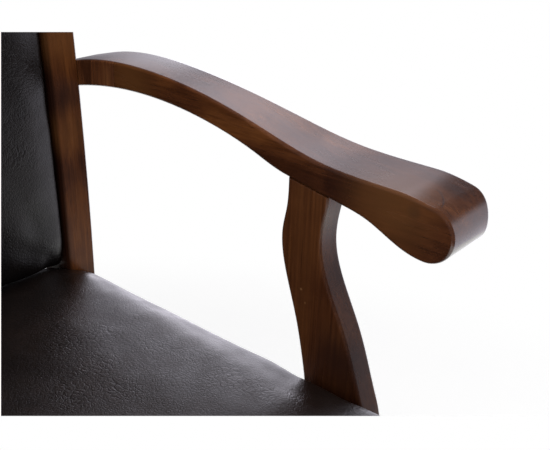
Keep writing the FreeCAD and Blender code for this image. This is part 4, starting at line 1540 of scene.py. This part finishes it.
@dataclass
class Woodwork:
    """The wooden frame and the small parts that keep their own shapes."""

    def dress(self) -> None:
        """Give every carried-over node its finish."""
        marks = (
            Mark(MarkKind.HOLE, (0.2500, 0.1419, 0.6738), 0.0016, 0.5, 0.8),
            Mark(MarkKind.CHIP, (0.2405, 0.0747, 0.6735), 0.0022, 0.6, 0.8),
            Mark(MarkKind.KNOT_AND_SHADE, (0.2524, -0.1874, 0.6259), 0.0050, 0.6, 0.75),
            Mark(MarkKind.GLOW, (0.2512, -0.1673, 0.6291), 0.030, 0.9, 0.55),
            Mark(MarkKind.GLOW, (0.2341, 0.1117, 0.6621), 0.024, 0.9, 0.50))
        bands = (Mark(MarkKind.KNOT_AND_SHADE, (0.212, 0.186, 0.636), 0.013, 0.9, 0.50),
                 Mark(MarkKind.GLOW, (0.214, 0.190, 0.690), 0.022, 0.9, 0.35),
                 Mark(MarkKind.GLOW, (0.214, 0.184, 0.600), 0.018, 0.9, 0.30))
        crack = Crack((0.2520, -0.1720, 0.6200), 0.0360, (0.2780, -0.2040, 0.6310), 0.021, 0.0008)
        ease = 0.0014
        plain = {"dark": (0.045, 0.0138, 0.0056), "middle": (0.080, 0.0260, 0.0094),
                 "light": (0.122, 0.0430, 0.0140)}
        specks_and_shade = (Mark(MarkKind.SPECK, (0.2465, -0.0911, 0.5261), 0.0011, 0.6, 0.8),
                 Mark(MarkKind.SPECK, (0.2468, -0.0960, 0.5148), 0.0009, 0.6, 0.6),
                 # painted shade: the large dark mark low on the left support is a painted contact shadow where it meets
                 # the seat
                 Mark(MarkKind.KNOT_AND_SHADE, (0.2470, -0.1380, 0.4720), 0.026, 0.9, 0.75))
        blocks = {"dark": (0.050, 0.0170, 0.0082), "middle": (0.140, 0.0500, 0.0205),
                  "light": (0.240, 0.0950, 0.0330)}
        arms = {"gloss": 0.24, "shine": 0.5, "coat": 1.0, "ease": ease}
        woods = {
            # the posts' inner faces beside the back cushion get painted shade (shaded)
            ("rear_post_left",): StainedWood("post_wood_left", Run.UPRIGHT, (0.3, 0.1, 0.42), shine=0.22,
                                             shaded=0.1985, marks=bands),
            ("rear_post_right",): StainedWood("post_wood_right", Run.UPRIGHT, (1.3, 0.7, 0.9), shine=0.22,
                                              shaded=0.1985),
            ("arm_left",): StainedWood("arm_wood_left", Run.FORWARD, (0.2, 0.5, 0.1), marks=marks, crack=crack, **arms),
            ("arm_right",): StainedWood("arm_wood_right", Run.FORWARD, (2.2, 1.5, 3.1), **arms),
            ("arm_block_left",): StainedWood("block_wood_left", Run.UPRIGHT, (4.1, 0.3, 0.7), figure=60.0, **blocks,
                                             **arms),
            ("arm_block_right",): StainedWood("block_wood_right", Run.UPRIGHT, (5.1, 1.3, 0.2), figure=60.0, **blocks,
                                              **arms),
            ("arm_support_left",): StainedWood("support_wood_left", Run.UPRIGHT, (0.6, 2.4, 1.1), marks=specks_and_shade,
                                               figure=30.0, ease=ease, **plain),
            ("arm_support_right",): StainedWood("support_wood_right", Run.UPRIGHT, (3.6, 0.4, 2.1), figure=30.0,
                                                ease=ease, **plain),
            ("front_leg_left", "front_leg_right"): StainedWood("leg_wood", Run.UPRIGHT, (0.9, 0.2, 0.5), ease=0.0015),
            ("side_rail_left", "side_rail_right"): StainedWood("side_rail_wood", Run.FORWARD, (0.1, 0.9, 0.3),
                                                               ease=0.0012),
            ("front_rail", "rear_rail", "lower_back_rail"): StainedWood("cross_rail_wood", Run.ACROSS, (0.7, 0.3, 0.2),
                                                                        ease=0.0012),
            ("crest_rail",): StainedWood("crest_wood", Run.ACROSS, (1.7, 0.8, 0.6), ease=0.0018),
            ("arm_plugs",): StainedWood("plug_wood", Run.FORWARD, (2.7, 0.1, 1.6), dark=(0.018, 0.007, 0.004),
                                        middle=(0.045, 0.016, 0.007), light=(0.08, 0.03, 0.010), figure=90.0),
        }
        others = {
            ("front_corner_block_left", "front_corner_block_right", "rear_corner_block_left",
             "rear_corner_block_right"): RawWood("block_wood", Run.ACROSS),
            ("seat_board",): Plywood("seat_plywood", (0.0, 0.0, 1.0)),
            ("back_board",): Plywood("back_plywood", (0.0, 1.0, 0.0)),
            ("leg_glides",): Nylon("glide_nylon"),
            ("support_inserts",): Metal("insert_brass", (0.75, 0.58, 0.27), (0.55, 0.40, 0.17), 0.30),
        }
        for nodes, finish in {**woods, **others}.items():
            material = finish.build()
            for node in nodes:
                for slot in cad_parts[node].material_slots:
                    slot.material = material
            log.info("dressed %s as %s", ", ".join(nodes), finish.name)


# Studio

@dataclass(frozen=True)
class Lamp:
    """A soft square lamp, aimed at a point."""

    name: str
    place: Point
    target: Point
    size: float
    power: float
    tint: Colour = (1.0, 1.0, 1.0)


@dataclass
class Studio:
    """Floor, lights, background and camera; angles are in degrees."""

    place: Point = (-0.2220, -0.4902, 0.8692)
    heading: float = 47.363
    pitch: float = 24.845
    roll: float = 2.0
    focal: float = 850.0
    middle: tuple[float, float] = (274.5, 224.0)
    picture: tuple[int, int] = (550, 450)
    shown: tuple[float, float, float, float] = (1.0, 32.0, 548.0, 416.0)
    card_distance: float = 0.003
    floor_size: float = 1.25
    backdrop_left: tuple[float, float] = (31.0, 43.0)
    backdrop_right: tuple[float, float] = (125.0, 134.0)
    backdrop_top: tuple[float, float] = (10.0, 25.0)
    backdrop_fade: tuple[float, float] = (62.0, 90.0)
    backdrop_level: float = 1.25
    backdrop_side_level: float = 0.8
    strip_left: tuple[float, float] = (38.0, 45.0)
    strip_right: tuple[float, float] = (46.0, 57.0)
    strip_bottom: tuple[float, float] = (-30.0, -20.0)
    strip_top: tuple[float, float] = (10.0, 24.0)
    strip_level: float = 1.3
    panel_bottom: tuple[float, float] = (18.0, 34.0)
    panel_top: tuple[float, float] = (50.0, 65.0)
    panel_right: tuple[float, float] = (61.0, 67.0)
    panel_level: float = 1.25
    room_level: float = 0.10
    cool: Colour = (0.96, 0.93, 1.04)
    soft_level: float = 0.35
    floor_glow: float = 0.42
    floor_rim: tuple[float, float] = (0.72, 0.98)
    lamps: tuple[Lamp, ...] = (
        Lamp("overhead", (0.20, 0.10, 2.6), (0.15, 0.0, 0.5), 1.8, 26.0),
        Lamp("side_fill", (-1.6, -1.4, 1.3), (0.1, 0.0, 0.6), 1.4, 20.0, (1.0, 0.99, 0.98)))

    def directions(self) -> tuple[Vector, Vector, Vector]:
        """The camera's right, up and forward directions.

        Returns:
            The three directions, each of length 1.
        """
        turn, down, lean = (math.radians(angle) for angle in (self.heading, self.pitch, self.roll))
        forward = Vector((math.sin(turn) * math.cos(down), math.cos(turn) * math.cos(down), -math.sin(down)))
        level = Vector((math.cos(turn), -math.sin(turn), 0.0))
        over = level.cross(forward)
        right = level * math.cos(lean) + over * math.sin(lean)
        return right, over * math.cos(lean) - level * math.sin(lean), forward

    def camera(self) -> bpy.types.Object:
        """Make the camera.

        Returns:
            The camera.
        """
        data = bpy.data.cameras.new("camera")
        data.sensor_width = 36.0
        data.lens = self.focal / self.picture[0] * 36.0
        data.shift_x = (self.picture[0] / 2.0 - self.middle[0]) / self.picture[0]
        data.shift_y = (self.middle[1] - self.picture[1] / 2.0) / self.picture[0]
        data.clip_start = 0.001
        camera = bpy.data.objects.new("camera", data)
        bpy.context.scene.collection.objects.link(camera)
        right, up, forward = self.directions()
        turn = Matrix((right, up, -forward)).transposed()
        camera.matrix_world = Matrix.Translation(self.place) @ turn.to_4x4()
        bpy.context.scene.camera = camera
        return camera

    def card(self, name: str, box: tuple[float, float, float, float], camera: bpy.types.Object,
             white: bpy.types.Material) -> None:
        """A small white card before the lens, covering a box of the picture.

        Args:
            name: The card's name.
            box: Its left, top, right and bottom edges in the picture, in pixels.
            camera: The camera that carries it.
            white: The card's material.
        """
        unit = self.card_distance / self.focal
        xs = [(box[i] - self.middle[0]) * unit for i in (0, 2)]
        ys = [(self.middle[1] - box[i]) * unit for i in (3, 1)]
        mesh = bpy.data.meshes.new(name)
        corners = [(xs[0], ys[0]), (xs[1], ys[0]), (xs[1], ys[1]), (xs[0], ys[1])]
        mesh.from_pydata([(x, y, -self.card_distance) for x, y in corners], [], [(0, 1, 2, 3)])
        card = new_object(name, mesh, white)
        card.parent = camera
        card.visible_diffuse = False
        card.visible_glossy = False
        card.visible_transmission = False
        card.visible_shadow = False

    def cards(self, camera: bpy.types.Object) -> None:
        """The photograph's white margins, as cards before the lens.

        Args:
            camera: The camera that carries them.
        """
        material = bpy.data.materials.new("white_card")
        material.use_nodes = True
        paper = Bench(material.node_tree)
        paper.tree.nodes.clear()
        glow = paper.add("ShaderNodeEmission", {"Color": (1.0, 1.0, 1.0, 1.0), "Strength": 1.0}).outputs[0]
        paper.add("ShaderNodeOutputMaterial", {"Surface": glow})
        left, top, right, bottom = self.shown
        wide, tall = self.picture
        self.card("card_above", (-40.0, -40.0, wide + 40.0, top), camera, material)
        self.card("card_below", (-40.0, bottom, wide + 40.0, tall + 40.0), camera, material)
        self.card("card_left", (-40.0, top, left, bottom), camera, material)
        self.card("card_right", (right, top, wide + 40.0, bottom), camera, material)

    def lamp(self, lamp: Lamp) -> None:
        """Hang a lamp that reflections don't show.

        Args:
            lamp: The lamp to hang.
        """
        data = bpy.data.lights.new(lamp.name, "AREA")
        data.size = lamp.size
        data.energy = lamp.power
        data.color = lamp.tint
        light = bpy.data.objects.new(lamp.name, data)
        bpy.context.scene.collection.objects.link(light)
        light.location = lamp.place
        light.rotation_euler = (Vector(lamp.target) - Vector(lamp.place)).to_track_quat("-Z", "Y").to_euler()
        light.visible_glossy = False

    def floor(self) -> None:
        """A pale floor that keeps the chair's shadow and runs into the white background."""
        work = bmesh.new()
        bmesh.ops.create_circle(work, cap_ends=True, radius=self.floor_size, segments=96)
        mesh = mesh_from("floor", work)
        surface = Surface("floor_white")
        away = surface.add("ShaderNodeVectorMath", {0: surface.place}, operation="LENGTH").outputs[1]
        shader = surface.shader
        shader.inputs["Roughness"].default_value = 0.8
        shader.inputs["Specular IOR Level"].default_value = 0.0
        fine = surface.cloud(surface.place, 4.0, 2.0)
        surface.tree.links.new(surface.ramp(fine, [(0.3, (0.80, 0.80, 0.81)), (0.7, (0.82, 0.82, 0.82))]),
                               shader.inputs["Base Color"])
        path = surface.add("ShaderNodeLightPath").outputs
        seen = surface.math("ADD", path["Is Camera Ray"], path["Is Transmission Ray"], clamp=True)
        seen = surface.math("ADD", seen, path["Is Glossy Ray"], clamp=True)
        strength = surface.math("MULTIPLY", seen, self.floor_glow)
        glow = surface.add("ShaderNodeEmission", {"Color": (1.0, 1.0, 1.0, 1.0), "Strength": strength}).outputs[0]
        lit = surface.add("ShaderNodeAddShader", {0: shader.outputs[0], 1: glow}).outputs[0]
        white = surface.add("ShaderNodeEmission", {"Color": (1.0, 1.0, 1.0, 1.0), "Strength": 1.0}).outputs[0]
        rim = surface.between(away, *(self.floor_size * share for share in self.floor_rim))
        edge = surface.math("MULTIPLY", rim, seen)
        whole = surface.add("ShaderNodeMixShader", {0: edge, 1: lit, 2: white}).outputs[0]
        out = surface.tree.nodes["Material Output"]
        surface.tree.links.new(whole, out.inputs["Surface"])
        floor = new_object("floor", mesh, surface.material)

    def world(self) -> None:
        """A white background; polished wood and leather reflect it where it is bright."""
        world = bpy.data.worlds.new("studio")
        bpy.context.scene.world = world
        world.use_nodes = True
        bench = Bench(world.node_tree)
        bench.tree.nodes.clear()
        way = bench.add("ShaderNodeTexCoord").outputs["Generated"]
        parts = bench.add("ShaderNodeSeparateXYZ", {0: way}).outputs
        heading = bench.math("ARCTAN2", parts[0], parts[1])
        height = bench.math("ARCSINE", parts[2])

        def step(value: bpy.types.NodeSocket, low: float, high: float, start: float = 0.0,
                 end: float = 1.0) -> bpy.types.NodeSocket:
            """Go smoothly from one level to another between two angles in degrees.

            Args:
                value: A heading or height in radians.
                low: The first angle.
                high: The second angle.
                start: The level at the first angle.
                end: The level at the second angle.

            Returns:
                The level.
            """
            node = bench.add("ShaderNodeMapRange", {0: value, 1: math.radians(low), 2: math.radians(high),
                                                    3: start, 4: end}, interpolation_type="SMOOTHSTEP")
            return node.outputs[0]

        backdrop = bench.math("MULTIPLY", step(heading, *self.backdrop_left),
                              step(heading, *self.backdrop_right, 1.0, 0.0))
        screen = bench.math("MULTIPLY", step(height, *self.backdrop_top, 1.0, 0.0),
                            step(heading, *self.backdrop_fade, self.backdrop_level, self.backdrop_side_level))
        panel = bench.math("MULTIPLY", step(height, *self.panel_bottom, 0.0, self.panel_level),
                           step(height, *self.panel_top, 1.0, 0.0))
        panel = bench.math("MULTIPLY", panel, step(heading, *self.panel_right, 1.0, 0.0))
        strip = bench.math("MULTIPLY", step(height, *self.strip_bottom, 0.0, self.strip_level),
                           step(height, *self.strip_top, 1.0, 0.0))
        strip = bench.math("MULTIPLY", strip, step(heading, *self.strip_left))
        strip = bench.math("MULTIPLY", strip, step(heading, *self.strip_right, 1.0, 0.0))
        level = bench.math("MULTIPLY", backdrop, bench.math("ADD", screen, bench.math("ADD", panel, strip)))
        level = bench.math("ADD", level, self.room_level)
        path = bench.add("ShaderNodeLightPath").outputs
        seen = bench.math("ADD", path["Is Camera Ray"], path["Is Transmission Ray"], clamp=True)
        lit = bench.add("ShaderNodeMix", {0: path["Is Glossy Ray"], 2: self.soft_level, 3: level},
                        data_type="FLOAT").outputs[0]
        strength = bench.add("ShaderNodeMix", {0: seen, 2: lit, 3: 1.0}, data_type="FLOAT").outputs[0]
        tint = bench.add("ShaderNodeMix", {0: path["Is Glossy Ray"], 6: (1.0, 1.0, 1.0, 1.0), 7: (*self.cool, 1.0)},
                         data_type="RGBA").outputs[2]
        glow = bench.add("ShaderNodeBackground", {"Color": tint, "Strength": strength}).outputs[0]
        bench.add("ShaderNodeOutputWorld", {"Surface": glow})

    def build(self) -> None:
        """Make the whole studio."""
        self.cards(self.camera())
        self.floor()
        self.world()
        for lamp in self.lamps:
            self.lamp(lamp)


# The whole

SEAT_WORN: tuple[Point, ...] = (
    (0.1037, 0.0010, 0.4734), (0.1062, 0.0397, 0.4731), (0.0972, -0.0405, 0.4738), (0.0683, -0.0229, 0.4746),
    (0.1692, -0.0821, 0.4690), (0.1797, -0.1055, 0.4681), (0.2092, -0.1585, 0.4648), (0.2011, -0.1343, 0.4656),
    (0.2222, -0.1731, 0.4630), (0.1350, 0.0377, 0.4712))
BACK_WORN: tuple[Point, ...] = ((0.1615, 0.1885, 0.6769), (0.1543, 0.1830, 0.5955))


def report_pieces(pieces: list[bpy.types.Object]) -> None:
    """Log each piece and its size."""
    for piece in pieces:
        log.info("built %s: %d faces", piece.name, len(piece.data.polygons))


def main() -> None:
    """Dress the chair and set up the studio."""
    logging.basicConfig(level=logging.INFO, format="%(message)s")
    bpy.context.scene.view_settings.view_transform = "Standard"
    leather = Leather("dark_leather", coat=0.35, worn_places=SEAT_WORN).build()
    # painted shade: the back's leather is the seat's leather with its colours about half as dark, standing in for less
    # light on the back and on the panel behind it
    shaded_back_leather = Leather("shaded_back_leather", (0.0040, 0.0030, 0.0028), (0.0090, 0.0060, 0.0050), coat=0.1, shine=0.5,
                           worn_places=BACK_WORN).build()
    foam = Foam("foam").build()
    steel = Metal("zinc_steel", (0.66, 0.67, 0.68), (0.42, 0.43, 0.45), 0.34).build()
    seat = SeatCushion("seat_cushion", ("seat_cover", "seat_foam", "seat_board"), "seat_cover", "seat_foam",
                       rounds=18, cap=0.0035, calm=18)
    back = BackCushion("back_cushion", ("back_cover", "back_foam", "back_board"), "back_cover", "back_foam",
                       shrink=0.001, cap=0.0025)
    for cushion, hide in ((seat, leather), (back, shaded_back_leather)):
        report_pieces(cushion.build(hide, foam))
    report_pieces([OutsideBack().build(shaded_back_leather)])
    report_pieces(DustCover().build(NonWoven("black_cloth").build(), steel))
    fastenings = Fastenings()
    report_pieces(fastenings.screws(steel))
    report_pieces(fastenings.dowels(RawWood("dowel_wood", Run.FORWARD).build()))
    Woodwork().dress()
    Studio().build()


if __name__ == "__main__":
    main()
